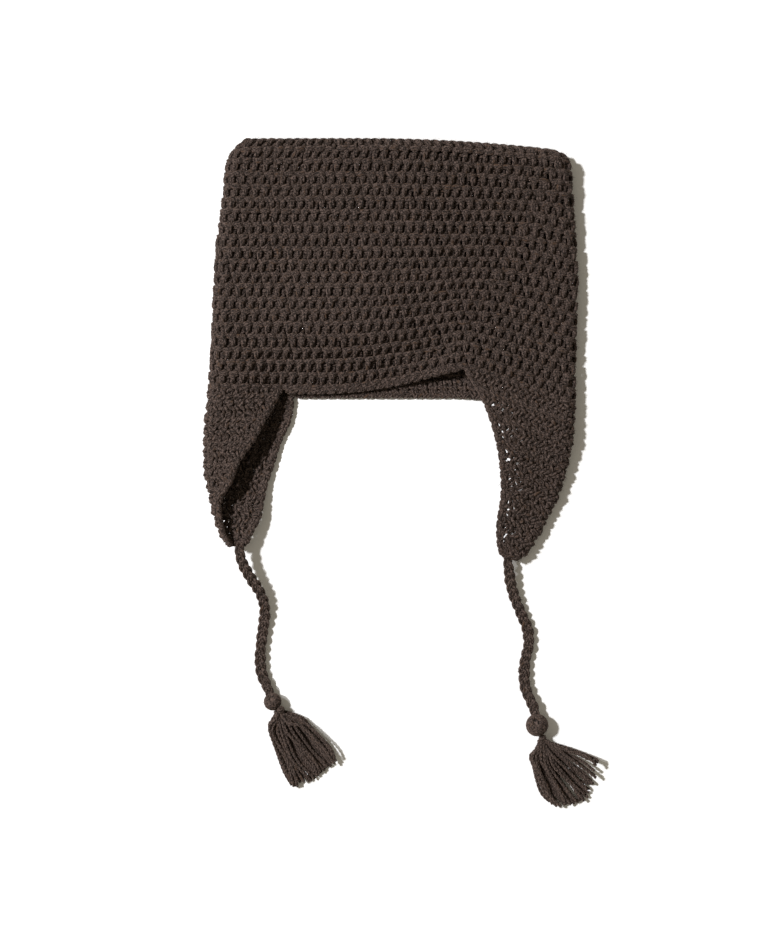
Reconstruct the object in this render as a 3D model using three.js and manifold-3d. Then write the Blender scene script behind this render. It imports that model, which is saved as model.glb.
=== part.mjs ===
// An earflap hat crocheted from thick brown yarn, lying flat on its back layer.
// Millimetres, +Z up, crown towards +Y, left flap towards -X. The hollow of the hat opens towards -Y.
import * as THREE from 'three';
import { mergeVertices } from 'three/addons/utils/BufferGeometryUtils.js';
import Module from 'manifold-3d';

const wasm = await Module();
wasm.setup();

// Driving dimensions
const WALL = 6;
const HALF_WALL = WALL / 2;
const GAP = 0.3;
const EDGING_WIDTH = 4.7;
const EDGE_BAND = EDGING_WIDTH + GAP;
const EDGING_RIM = 1.7;
const TOP_LINE = 152.8;
const TOP_RADIUS = 6;
const TOP_ARC = (TOP_RADIUS * Math.PI) / 2;
const CROWN_DEPTH = 186.5;
const CROWN_REACH = TOP_ARC + CROWN_DEPTH - TOP_RADIUS;
const CROWN_END = CROWN_REACH - EDGE_BAND;
const FIRST_REACH = TOP_RADIUS * 0.22;
const CORD_DIAMETER = 7.6;
const CORD_SIDES = 10;
const CORD_STEPS = 18;

// How the rounds of the crown lean: up to the brow peak, then down towards the right fold
const BROW_PEAK = { x: 52, lift: 20.3, from: -60, rise: 2.1, startDown: 60 };
const SEAM = { topX: 121.6, topDown: 40, slant: 0.503, soften: 14 };
const RIGHT_DROP = { top: 0.3, bottom: 0.37 };
const TOP_DROOP = { from: -20, width: 140, depth: 8, fade: 60 };
const NAPE_DROP = 3;

// Where the brow edge of the front sags onto the back layer, and where it stands open
const BROW_SAG = { start: 0.03, full: 0.2, until: 0.46, end: 0.7, gap: 6.8, height: 50 };
const BROW_RISE = { at: 0.72, width: 0.1, height: 2.2 };

// The flattened tube at each distance down from its closed top: the two folds and their radii,
// and how far the front swells between them
const CROWN_ROWS = [
  { down: 0, left: -109, right: 121, foldLeft: 6, foldRight: 6.5, swell: 1 },
  { down: 3, left: -113, right: 130, foldLeft: 6.2, foldRight: 6.8, swell: 2 },
  { down: 8, left: -118.4, right: 134, foldLeft: 6.5, foldRight: 7, swell: 3 },
  { down: 16, left: -122.4, right: 135, foldLeft: 7, foldRight: 6.6, swell: 4 },
  { down: 43, left: -125.6, right: 136.5, foldLeft: 7.4, foldRight: 5.4, swell: 5.5 },
  { down: 81, left: -130.4, right: 139.4, foldLeft: 7.6, foldRight: 4.8, swell: 6.5 },
  { down: 117, left: -132.2, right: 139, foldLeft: 7.6, foldRight: 4.8, swell: 6.5 },
  { down: 150, left: -133.8, right: 138, foldLeft: 7.8, foldRight: 5, swell: 5 },
  { down: 191, left: -136.6, right: 137.6, foldLeft: 7.2, foldRight: 6, swell: 0 },
];

// Where each flap's outline leaves the lower edge of the crown, front and back
const FLAP_EDGES = { leftFront: -79, leftBack: -71, rightFront: 52.5, rightBack: 98 };

// Sections of the left flap, from the crown to the tip: its front free edge, its fold, its back free
// edge, and the heights of the fabric's middle there
const LEFT_FLAP = [
  { frontX: -91.5, frontY: -52.5, foldX: -138.3, foldY: -53, backX: -73.7, backY: -53, frontZ: 17, topZ: 16.6, backZ: 3 },
  { frontX: -100.4, frontY: -69, foldX: -139.1, foldY: -69.4, backX: -81.1, backY: -69.4, frontZ: 20, topZ: 16.4, backZ: 3 },
  { frontX: -111.5, frontY: -85.4, foldX: -139.2, foldY: -85.5, backX: -86, backY: -85.5, frontZ: 21, topZ: 17, backZ: 3.4 },
  { frontX: -116.9, frontY: -99.5, foldX: -137.2, foldY: -99.5, backX: -90.8, backY: -99.5, frontZ: 23, topZ: 18.8, backZ: 4.6 },
  { frontX: -123.6, frontY: -112, foldX: -134.4, foldY: -112, backX: -93.4, backY: -112, frontZ: 24, topZ: 21, backZ: 6.4 },
  { frontX: -124.2, frontY: -126, foldX: -131, foldY: -126, backX: -96.2, backY: -126, frontZ: 22.6, topZ: 22, backZ: 9 },
  { frontX: -121.6, frontY: -138, foldX: -126.8, foldY: -138, backX: -102.4, backY: -138, frontZ: 20.6, topZ: 21.2, backZ: 11.4 },
  { frontX: -116.5, frontY: -146.3, foldX: -121.4, foldY: -146, backX: -105.4, backY: -146.3, frontZ: 19.6, topZ: 20.4, backZ: 12.2 },
];

// The same for the right flap, whose rows lean down towards its fold
const RIGHT_FLAP = [
  { frontX: 67.5, frontY: -38.5, foldX: 136.4, foldY: -63.3, backX: 97.4, backY: -58, frontZ: 18, topZ: 15.2, backZ: 3 },
  { frontX: 77.2, frontY: -67.7, foldX: 131.6, foldY: -87, backX: 98, backY: -82, frontZ: 18.5, topZ: 13, backZ: 3 },
  { frontX: 80.9, frontY: -93.6, foldX: 125.2, foldY: -109.9, backX: 98.6, backY: -105, frontZ: 17.5, topZ: 11, backZ: 3 },
  { frontX: 80.9, frontY: -110.6, foldX: 117.6, foldY: -125.4, backX: 97, backY: -121, frontZ: 16, topZ: 10, backZ: 3 },
  { frontX: 78, frontY: -130.6, foldX: 108.3, foldY: -142.4, backX: 94, backY: -138.5, frontZ: 14, topZ: 10.8, backZ: 3 },
  { frontX: 78.6, frontY: -144.6, foldX: 101.4, foldY: -151.8, backX: 90.6, backY: -149, frontZ: 12.4, topZ: 11.6, backZ: 3.2 },
  { frontX: 80.4, frontY: -153.8, foldX: 94.6, foldY: -156.2, backX: 88, backY: -155.6, frontZ: 11.8, topZ: 12, backZ: 3.6 },
];

// Middle line of each tie cord, from the flap's tip to the yarn ball
const LEFT_CORD = [
  { x: -111.6, y: -147.1, z: 15.4 }, { x: -110.5, y: -155.4, z: 15 }, { x: -107.8, y: -161.7, z: 14.2 },
  { x: -104.1, y: -168.4, z: 13 }, { x: -100.4, y: -174.3, z: 11.6 }, { x: -97, y: -179.5, z: 10.2 },
  { x: -94.8, y: -185.4, z: 8.4 }, { x: -93.4, y: -190.9, z: 6.8 }, { x: -93.3, y: -198, z: 5 },
  { x: -94.1, y: -204, z: 4.2 }, { x: -95.6, y: -215, z: 3.9 }, { x: -96.7, y: -226.5, z: 3.9 },
  { x: -96.2, y: -237.9, z: 4 }, { x: -94.5, y: -243.8, z: 4.4 }, { x: -92.7, y: -247.9, z: 5 },
  { x: -89.9, y: -254.3, z: 6.2 },
];
const RIGHT_CORD = [
  { x: 86.6, y: -156.5, z: 8.8 }, { x: 87.6, y: -164.7, z: 8.2 }, { x: 89.1, y: -175, z: 7 },
  { x: 92.8, y: -187.3, z: 5.6 }, { x: 95.3, y: -192.8, z: 5 }, { x: 97.3, y: -198, z: 4.6 },
  { x: 101.1, y: -206.8, z: 4.2 }, { x: 102.4, y: -217.5, z: 4 }, { x: 101.3, y: -224.6, z: 4 },
  { x: 99.6, y: -231.1, z: 4 }, { x: 98.9, y: -243.1, z: 4.4 }, { x: 99.6, y: -249.8, z: 5.2 },
  { x: 101.1, y: -255.3, z: 6.2 }, { x: 105, y: -263.8, z: 7.8 }, { x: 106.9, y: -269.6, z: 8.5 },
];
const LEFT_BALL = { x: -87.4, y: -261.4, radius: 6.8 };
const RIGHT_BALL = { x: 108.3, y: -278.6, radius: 8.6 };

// Locks of each tassel: where each one bulges and where it ends, and its half width there
const LEFT_TASSEL = {
  neck: { x: -83.2, y: -269.2, z: 5.4, radius: 3.4 },
  locks: [
    { midX: -87.6, midY: -285, tipX: -72, tipY: -324, width: 3 },
    { midX: -84, midY: -288, tipX: -66, tipY: -323.6, width: 3.4 },
    { midX: -78, midY: -290, tipX: -58, tipY: -321, width: 3.4 },
    { midX: -72, midY: -289, tipX: -50.6, tipY: -317, width: 3.4 },
    { midX: -67, midY: -286, tipX: -44.4, tipY: -311.6, width: 3.4 },
    { midX: -63, midY: -281, tipX: -40.2, tipY: -305, width: 3 },
  ],
};
const RIGHT_TASSEL = {
  neck: { x: 111.8, y: -290.2, z: 5.8, radius: 3.4 },
  locks: [
    { midX: 104.4, midY: -305, tipX: 114.8, tipY: -335, width: 3 },
    { midX: 109.6, midY: -309, tipX: 122.6, tipY: -340, width: 3.4 },
    { midX: 115.4, midY: -311, tipX: 131, tipY: -340, width: 3.6 },
    { midX: 121.2, midY: -311, tipX: 139.6, tipY: -338.6, width: 3.6 },
    { midX: 126, midY: -308, tipX: 148, tipY: -331.4, width: 3.4 },
    { midX: 130.4, midY: -304, tipX: 152.8, tipY: -321, width: 3 },
    { midX: 133.4, midY: -297.4, tipX: 152.6, tipY: -307, width: 2.4 },
  ],
};
const LOCK_RISE = 5.2;
const LOCK_FLAT = 0.62;
const LOCK_SIDES = 6;
const LOCK_STEPS = 6;

const clamp = THREE.MathUtils.clamp;
const lerp = THREE.MathUtils.lerp;
const smoothstep = THREE.MathUtils.smoothstep;
const bell = (value, at, width) => Math.exp(-(((value - at) / width) ** 2));

// Weights that blend neighbouring entries of a list of keys into one smooth value
function splineMix(keys, at) {
  const last = keys.length - 1;
  const value = clamp(at, keys[0], keys[last]);
  let i = 0;
  while (i < last - 1 && value > keys[i + 1]) i += 1;
  const before = Math.max(i - 1, 0);
  const after = Math.min(i + 2, last);
  const span = keys[i + 1] - keys[i];
  const t = (value - keys[i]) / span;
  const slopeLow = (span * (t ** 3 - 2 * t ** 2 + t)) / (keys[i + 1] - keys[before]);
  const slopeHigh = (span * (t ** 3 - t ** 2)) / (keys[after] - keys[i]);
  const high = 3 * t ** 2 - 2 * t ** 3;
  return [
    [before, -slopeLow],
    [i, 1 - high - slopeHigh],
    [i + 1, high + slopeLow],
    [after, slopeHigh],
  ];
}

// All columns of a table, smoothly between its rows
function tableAt(table, key, at) {
  const mix = splineMix(table.map((row) => row[key]), at);
  const result = {};
  for (const column of Object.keys(table[0])) {
    result[column] = mix.reduce((sum, [index, weight]) => sum + weight * table[index][column], 0);
  }
  return result;
}

function mixPoints(points, mix) {
  const result = new THREE.Vector3();
  for (const [index, weight] of mix) result.addScaledVector(points[index], weight);
  return result;
}

// How far a round of the front has slid down at x, given its distance down from the top
function frontDrop(x, down) {
  const seamX = SEAM.topX - (down - SEAM.topDown) * SEAM.slant;
  const past = x - seamX;
  const softPast = (past + Math.hypot(past, SEAM.soften)) / 2;
  const slope = lerp(RIGHT_DROP.top, RIGHT_DROP.bottom, down / CROWN_DEPTH);
  const depth = Math.max(down - BROW_PEAK.startDown, 0) / (CROWN_DEPTH - BROW_PEAK.startDown);
  const nearPeak = clamp((x - BROW_PEAK.from) / (BROW_PEAK.x - BROW_PEAK.from), 0, 1);
  const lift = BROW_PEAK.lift * depth ** 1.5 * nearPeak ** BROW_PEAK.rise;
  return slope * softPast * smoothstep(down, -20, 60) - lift;
}

function backDrop(x, down, right) {
  const share = down / CROWN_DEPTH;
  const blend = smoothstep(x, right - 90, right);
  return lerp(NAPE_DROP * share, frontDrop(right, down), blend);
}

function topDroop(x, down) {
  const reach = Math.max(x - TOP_DROOP.from, 0) / TOP_DROOP.width;
  return TOP_DROOP.depth * reach ** 2 * Math.max(1 - down / TOP_DROOP.fade, 0);
}

// A point on the middle of the crown's fabric. around runs 0 to 1 over the front from the left fold to
// the right one, then 1 to 2 over the back; reach is the distance along the fabric from the closed top.
function crownPoint(around, reach) {
  const angle = Math.min(reach / TOP_RADIUS, Math.PI / 2);
  const down = TOP_RADIUS * (1 - Math.cos(angle)) + Math.max(reach - TOP_ARC, 0);
  const row = tableAt(CROWN_ROWS, 'down', down);
  const left = row.left + HALF_WALL;
  const right = row.right - HALF_WALL;
  const flat = right - left - row.foldLeft - row.foldRight;
  const arcLeft = (row.foldLeft * Math.PI) / 2;
  const arcRight = (row.foldRight * Math.PI) / 2;
  const turn = ((around % 2) + 2) % 2;
  const onFront = turn <= 1;
  const travel = (onFront ? turn : 2 - turn) * (arcLeft + flat + arcRight);
  const across = clamp((travel - arcLeft) / flat, 0, 1);
  const browShare = smoothstep(down, CROWN_DEPTH - BROW_SAG.height, CROWN_DEPTH);
  const swell = row.swell * Math.sin(Math.PI * across) ** 2
    + BROW_RISE.height * bell(across, BROW_RISE.at, BROW_RISE.width) * browShare;
  const sag = smoothstep(across, BROW_SAG.start, BROW_SAG.full)
    * (1 - smoothstep(across, BROW_SAG.until, BROW_SAG.end)) * browShare;
  const gap = lerp(2 * lerp(row.foldLeft, row.foldRight, across) + swell, BROW_SAG.gap, sag);
  let x = left + row.foldLeft + across * flat;
  let height = onFront ? gap : 0;
  if (travel < arcLeft) {
    const turned = travel / row.foldLeft;
    x = left + row.foldLeft * (1 - Math.cos(turned));
    height = row.foldLeft * (1 + (onFront ? 1 : -1) * Math.sin(turned));
  } else if (travel > arcLeft + flat) {
    const turned = (arcLeft + flat + arcRight - travel) / row.foldRight;
    x = right - row.foldRight * (1 - Math.cos(turned));
    height = row.foldRight * (1 + (onFront ? 1 : -1) * Math.sin(turned));
  }
  const middle = gap / 2;
  const z = HALF_WALL + middle + (height - middle) * Math.sin(angle);
  const drop = onFront ? frontDrop(x, down) : backDrop(x, down, right);
  return new THREE.Vector3(x, TOP_LINE - down - drop - topDroop(x, down), z);
}

// The around value of a place x on the flat front or back, at the crown's lower end
function aroundOf(x, onFront) {
  const row = tableAt(CROWN_ROWS, 'down', CROWN_DEPTH - EDGE_BAND);
  const left = row.left + HALF_WALL;
  const right = row.right - HALF_WALL;
  const arcLeft = (row.foldLeft * Math.PI) / 2;
  const arcRight = (row.foldRight * Math.PI) / 2;
  const flat = right - left - row.foldLeft - row.foldRight;
  const share = (arcLeft + x - left - row.foldLeft) / (arcLeft + flat + arcRight);
  return onFront ? share : 2 - share;
}

// The middle line of a flap's section from its table row, from the back free edge round the fold to the
// front free edge on the left flap, and the other way on the right one
function sectionLine(row, isLeft) {
  const side = isLeft ? 1 : -1;
  const foldX = row.foldX + side * HALF_WALL;
  const centreZ = (row.topZ + row.backZ) / 2;
  const radius = (row.topZ - row.backZ) / 2;
  const frontWidth = Math.abs(row.frontX - foldX);
  const backWidth = Math.abs(row.backX - foldX);
  const line = [];
  const place = (inward, y, z) => line.push(new THREE.Vector3(foldX + side * inward, y, z));
  const yAt = (inward, onFront) => {
    const share = inward / (onFront ? frontWidth : backWidth);
    return lerp(row.foldY, onFront ? row.frontY : row.backY, share);
  };
  const straightSteps = 10;
  for (let i = 0; i < straightSteps; i += 1) {
    const inward = lerp(backWidth, radius, i / straightSteps);
    place(inward, yAt(inward, false), row.backZ);
  }
  const arcSteps = 14;
  const frontTurn = frontWidth < radius ? Math.acos(1 - frontWidth / radius) : Math.PI / 2;
  for (let i = 0; i <= arcSteps; i += 1) {
    const turned = lerp(-Math.PI / 2, frontTurn, i / arcSteps);
    const inward = radius * (1 - Math.cos(turned));
    place(inward, yAt(inward, turned > 0), centreZ + radius * Math.sin(turned));
  }
  if (frontWidth > radius + 1) {
    for (let i = 1; i <= straightSteps; i += 1) {
      const share = i / straightSteps;
      const inward = lerp(radius, frontWidth, share);
      place(inward, yAt(inward, true), lerp(row.topZ, row.frontZ, smoothstep(share, 0, 1)));
    }
  }
  return isLeft ? line : line.reverse();
}

// The same line with evenly spaced points
function evenLine(line, count) {
  const travelled = [0];
  for (let i = 1; i < line.length; i += 1) {
    travelled.push(travelled[i - 1] + line[i].distanceTo(line[i - 1]));
  }
  const total = travelled[travelled.length - 1];
  const result = [];
  let i = 1;
  for (let k = 0; k < count; k += 1) {
    const at = (total * k) / (count - 1);
    while (i < line.length - 1 && travelled[i] < at) i += 1;
    const share = (at - travelled[i - 1]) / (travelled[i] - travelled[i - 1]);
    result.push(line[i - 1].clone().lerp(line[i], share));
  }
  return result;
}

function lineLength(line) {
  return line.slice(1).reduce((sum, point, i) => sum + point.distanceTo(line[i]), 0);
}

// A flap: its sections in order of reach, the first two taken from the crown that it grows out of
const SECTION_POINTS = 25;
function makeFlap(rows, isLeft) {
  const from = isLeft ? aroundOf(FLAP_EDGES.leftBack, false) - 2 : aroundOf(FLAP_EDGES.rightFront, true);
  const to = isLeft ? aroundOf(FLAP_EDGES.leftFront, true) : aroundOf(FLAP_EDGES.rightBack, false);
  const crownLine = (reach) => {
    const line = [];
    for (let i = 0; i < SECTION_POINTS * 3; i += 1) {
      line.push(crownPoint(lerp(from, to, i / (SECTION_POINTS * 3 - 1)), reach));
    }
    return line;
  };
  const stepAbove = 12;
  const lines = [crownLine(CROWN_END - stepAbove), crownLine(CROWN_END)];
  for (const row of rows) lines.push(sectionLine(row, isLeft));
  const sections = lines.map((line) => evenLine(line, SECTION_POINTS));
  const keys = [-stepAbove, 0];
  for (let i = 2; i < sections.length; i += 1) {
    const steps = sections[i].map((point, k) => point.distanceTo(sections[i - 1][k]));
    keys.push(keys[i - 1] + steps.reduce((sum, step) => sum + step, 0) / steps.length);
  }
  return { from, to, sections, keys, length: keys[keys.length - 1] };
}

function flapSection(flap, reach) {
  const mix = splineMix(flap.keys, reach);
  return flap.sections[0].map((_, k) => mixPoints(flap.sections.map((section) => section[k]), mix));
}

const EVEN_KEYS = Array.from({ length: SECTION_POINTS }, (_, k) => k / (SECTION_POINTS - 1));
function flapPoint(flap, across, reach) {
  const point = mixPoints(flapSection(flap, reach), splineMix(EVEN_KEYS, across));
  point.z = Math.max(point.z, HALF_WALL);
  return point;
}

// Place and outward direction on a fabric described by pointAt(sideways, reach)
function surfaceAt(pointAt, sideways, reach, sideStep) {
  const reachStep = 0.5;
  const along = pointAt(sideways, reach + reachStep).sub(pointAt(sideways, reach - reachStep));
  const over = pointAt(sideways + sideStep, reach).sub(pointAt(sideways - sideStep, reach));
  const normal = along.cross(over).normalize();
  return { point: pointAt(sideways, reach), normal };
}
const crownSurface = (around, reach) => surfaceAt(crownPoint, around, reach, 0.002);

function flapSurface(flap, across, reach) {
  const sideStep = 0.012;
  const atReach = clamp(reach, -5, flap.length - 0.6);
  const inside = clamp(across, sideStep, 1 - sideStep);
  const { normal } = surfaceAt((s, r) => flapPoint(flap, s, r), inside, atReach, sideStep);
  return { point: flapPoint(flap, across, reach), normal };
}

const offset = (surface, distance) => surface.point.clone().addScaledVector(surface.normal, distance);

// Collects corners and faces of one closed mesh
function meshBuilder() {
  const corners = [];
  const faces = [];
  const add = (point) => corners.push(point) - 1;
  const quad = (a, b, c, d) => faces.push([a, b, c], [a, c, d]);
  const triangle = (a, b, c) => faces.push([a, b, c]);
  const geometry = () => {
    const result = new THREE.BufferGeometry();
    const numbers = corners.flatMap((point) => [point.x, point.y, point.z]);
    result.setAttribute('position', new THREE.Float32BufferAttribute(numbers, 3));
    result.setIndex(faces.flat());
    return result;
  };
  return { add, quad, triangle, geometry };
}

// Stops round the crown, as around values, shared by the crown, the flaps and the edging
const FOLD_STOPS = 3;
const STOP_COUNTS = { leftFront: 4, brow: 8, rightFront: 6, rightBack: 3, nape: 11, leftBack: 4 };
function spread(from, to, count) {
  return Array.from({ length: count }, (_, i) => lerp(from, to, i / count));
}
function makeStops() {
  const row = tableAt(CROWN_ROWS, 'down', CROWN_DEPTH - EDGE_BAND);
  const foldEndLeft = aroundOf(row.left + HALF_WALL + row.foldLeft, true);
  const foldEndRight = aroundOf(row.right - HALF_WALL - row.foldRight, true);
  const leftFront = aroundOf(FLAP_EDGES.leftFront - EDGE_BAND, true);
  const rightFront = aroundOf(FLAP_EDGES.rightFront + EDGE_BAND, true);
  const rightBack = aroundOf(FLAP_EDGES.rightBack + EDGE_BAND, false);
  const leftBack = aroundOf(FLAP_EDGES.leftBack - EDGE_BAND, false);
  const parts = {
    leftFront: [...spread(0, foldEndLeft, FOLD_STOPS), ...spread(foldEndLeft, leftFront, STOP_COUNTS.leftFront)],
    brow: spread(leftFront, rightFront, STOP_COUNTS.brow),
    rightFront: [...spread(rightFront, foldEndRight, STOP_COUNTS.rightFront), ...spread(foldEndRight, 1, FOLD_STOPS)],
    rightBack: [
      ...spread(1, 2 - foldEndRight, FOLD_STOPS),
      ...spread(2 - foldEndRight, rightBack, STOP_COUNTS.rightBack),
    ],
    nape: spread(rightBack, leftBack, STOP_COUNTS.nape),
    leftBack: [
      ...spread(leftBack, 2 - foldEndLeft, STOP_COUNTS.leftBack),
      ...spread(2 - foldEndLeft, 2, FOLD_STOPS),
    ],
  };
  return parts;
}
const STOPS = makeStops();
const ALL_STOPS = Object.values(STOPS).flat();

function crownGeometry() {
  const reaches = [FIRST_REACH, TOP_ARC * 0.4, TOP_ARC * 0.7, TOP_ARC];
  const straightRows = 13;
  for (let i = 1; i <= straightRows; i += 1) {
    reaches.push(lerp(TOP_ARC, CROWN_END, (i / straightRows) ** 1.05));
  }
  const builder = meshBuilder();
  const count = ALL_STOPS.length;
  const skins = [HALF_WALL, -HALF_WALL].map((distance) => reaches.map((reach) => ALL_STOPS.map(
    (around) => builder.add(offset(crownSurface(around, reach), distance)),
  )));
  skins.forEach((skin, which) => {
    const face = which === 0 ? builder.quad : (a, b, c, d) => builder.quad(d, c, b, a);
    for (let i = 0; i < reaches.length - 1; i += 1) {
      for (let j = 0; j < count; j += 1) {
        const next = (j + 1) % count;
        face(skin[i][j], skin[i + 1][j], skin[i + 1][next], skin[i][next]);
      }
    }
    const top = skin[0];
    const half = count / 2;
    for (let j = 0; j < half; j += 1) {
      const back = (count - j) % count;
      const nextBack = count - j - 1;
      if (j === 0) face(top[0], top[1], top[nextBack], top[nextBack]);
      else if (j === half - 1) face(top[j], top[j + 1], top[back], top[back]);
      else face(top[j], top[j + 1], top[nextBack], top[back]);
    }
  });
  const [outer, inner] = skins.map((skin) => skin[skin.length - 1]);
  for (let j = 0; j < count; j += 1) {
    const next = (j + 1) % count;
    builder.quad(outer[j], inner[j], inner[next], outer[next]);
  }
  return cleaned(builder.geometry());
}

// Drops faces that have no area and joins corners at the same place
function cleaned(geometry) {
  const merged = mergeVertices(geometry, 1e-4);
  const index = Array.from(merged.index.array);
  const kept = [];
  for (let i = 0; i < index.length; i += 3) {
    const [a, b, c] = index.slice(i, i + 3);
    if (a !== b && b !== c && a !== c) kept.push(a, b, c);
  }
  merged.setIndex(kept);
  merged.computeVertexNormals();
  return merged;
}

const FLAP_STOPS = {
  left: [...STOPS.leftBack.map((around) => around - 2), ...STOPS.leftFront, STOPS.brow[0]],
  right: [...STOPS.rightFront, ...STOPS.rightBack, STOPS.nape[0]],
};
const FLAP_ROWS = 10;

// The rows and columns of a flap's fabric inside its edging, as reach and across values
function flapGrid(flap, stops) {
  const reaches = Array.from({ length: FLAP_ROWS + 1 }, (_, i) => (
    lerp(GAP, flap.length - EDGE_BAND, i / FLAP_ROWS)
  ));
  const first = stops[0];
  const last = stops[stops.length - 1];
  const shares = stops.map((around) => (around - first) / (last - first));
  const acrossAt = (reach, share, band) => {
    const inset = band / lineLength(flapSection(flap, reach));
    return lerp(inset, 1 - inset, share);
  };
  return { reaches, shares, acrossAt };
}

function flapGeometry(flap, stops) {
  const { reaches, shares, acrossAt } = flapGrid(flap, stops);
  const builder = meshBuilder();
  const placeAt = (reach, row, column) => {
    if (row === 0) return crownSurface(stops[column], CROWN_END + GAP);
    return flapSurface(flap, acrossAt(reach, shares[column], EDGE_BAND), reach);
  };
  const [outer, inner] = [HALF_WALL, -HALF_WALL].map((distance) => reaches.map((reach, row) => (
    shares.map((_, column) => builder.add(offset(placeAt(reach, row, column), distance)))
  )));
  const lastRow = reaches.length - 1;
  const lastColumn = shares.length - 1;
  for (let i = 0; i < lastRow; i += 1) {
    for (let j = 0; j < lastColumn; j += 1) {
      builder.quad(outer[i][j], outer[i + 1][j], outer[i + 1][j + 1], outer[i][j + 1]);
      builder.quad(inner[i][j + 1], inner[i + 1][j + 1], inner[i + 1][j], inner[i][j]);
    }
    builder.quad(outer[i + 1][0], outer[i][0], inner[i][0], inner[i + 1][0]);
    builder.quad(outer[i][lastColumn], outer[i + 1][lastColumn], inner[i + 1][lastColumn], inner[i][lastColumn]);
  }
  for (let j = 0; j < lastColumn; j += 1) {
    builder.quad(outer[0][j], outer[0][j + 1], inner[0][j + 1], inner[0][j]);
    builder.quad(outer[lastRow][j + 1], outer[lastRow][j], inner[lastRow][j], inner[lastRow][j + 1]);
  }
  return cleaned(builder.geometry());
}

// Stations of the edging round one flap: down its first free edge, along its tip and up the other
function flapEdgeStations(flap, stops) {
  const { reaches, shares, acrossAt } = flapGrid(flap, stops);
  const stations = [];
  const tipReach = reaches[reaches.length - 1] + GAP;
  const add = (share, reach, outShare, outReach) => {
    const inner = flapSurface(flap, acrossAt(reach, share, EDGING_WIDTH), reach);
    const outer = flapSurface(flap, outShare, outReach);
    stations.push({ inner, outer });
  };
  const cornerInset = 0.03;
  for (const reach of reaches.slice(1, -1)) add(0, reach, 0, reach);
  add(0, tipReach, cornerInset, flap.length - 1);
  for (const share of shares.slice(1, -1)) {
    const spreadOut = lerp(cornerInset, 1 - cornerInset, share);
    add(share, tipReach, spreadOut, flap.length);
  }
  add(1, tipReach, 1 - cornerInset, flap.length - 1);
  for (const reach of reaches.slice(1, -1).reverse()) add(1, reach, 1, reach);
  return stations;
}

// Stations of the edging along the brow or the nape, between the edges of the two flaps
function rimStations(stops, fromX, toX, onFront) {
  const inward = Math.sign(toX - fromX);
  const arounds = stops.slice(1).map((around) => [around, around]);
  const ends = [[fromX, -inward], [toX, inward]].map(([x, side]) => [
    aroundOf(x + side * EDGING_WIDTH, onFront),
    aroundOf(x, onFront),
  ]);
  return [ends[0], ...arounds, ends[1]].map(([inner, outer]) => ({
    inner: crownSurface(inner, CROWN_END + GAP),
    outer: crownSurface(outer, CROWN_REACH),
  }));
}

function edgingGeometry(flaps) {
  const stations = [
    ...rimStations(STOPS.brow, FLAP_EDGES.leftFront, FLAP_EDGES.rightFront, true),
    ...flapEdgeStations(flaps.right, FLAP_STOPS.right),
    ...rimStations(STOPS.nape, FLAP_EDGES.rightBack, FLAP_EDGES.leftBack, false),
    ...flapEdgeStations(flaps.left, FLAP_STOPS.left),
  ];
  const builder = meshBuilder();
  const rings = stations.map(({ inner, outer }) => {
    const shoulder = {
      point: inner.point.clone().lerp(outer.point, 0.55),
      normal: inner.normal.clone().add(outer.normal).normalize(),
    };
    return [
      offset(inner, HALF_WALL), offset(shoulder, HALF_WALL), offset(outer, EDGING_RIM),
      offset(outer, -EDGING_RIM), offset(shoulder, -HALF_WALL), offset(inner, -HALF_WALL),
    ].map(builder.add);
  });
  rings.forEach((ring, i) => {
    const next = rings[(i + 1) % rings.length];
    ring.forEach((corner, k) => {
      const over = (k + 1) % ring.length;
      builder.quad(corner, ring[over], next[over], next[k]);
    });
  });
  return cleaned(builder.geometry());
}

const vector = ({ x, y, z }) => new THREE.Vector3(x, y, z);

function cordGeometry(points) {
  const section = new THREE.Shape();
  for (let i = 0; i < CORD_SIDES; i += 1) {
    const angle = (2 * Math.PI * i) / CORD_SIDES;
    const x = (CORD_DIAMETER / 2) * Math.cos(angle);
    const y = (CORD_DIAMETER / 2) * Math.sin(angle);
    if (i === 0) section.moveTo(x, y);
    else section.lineTo(x, y);
  }
  section.closePath();
  const extrudePath = new THREE.CatmullRomCurve3(points.map(vector), false, 'centripetal');
  return new THREE.ExtrudeGeometry(section, { steps: CORD_STEPS, extrudePath });
}

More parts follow.
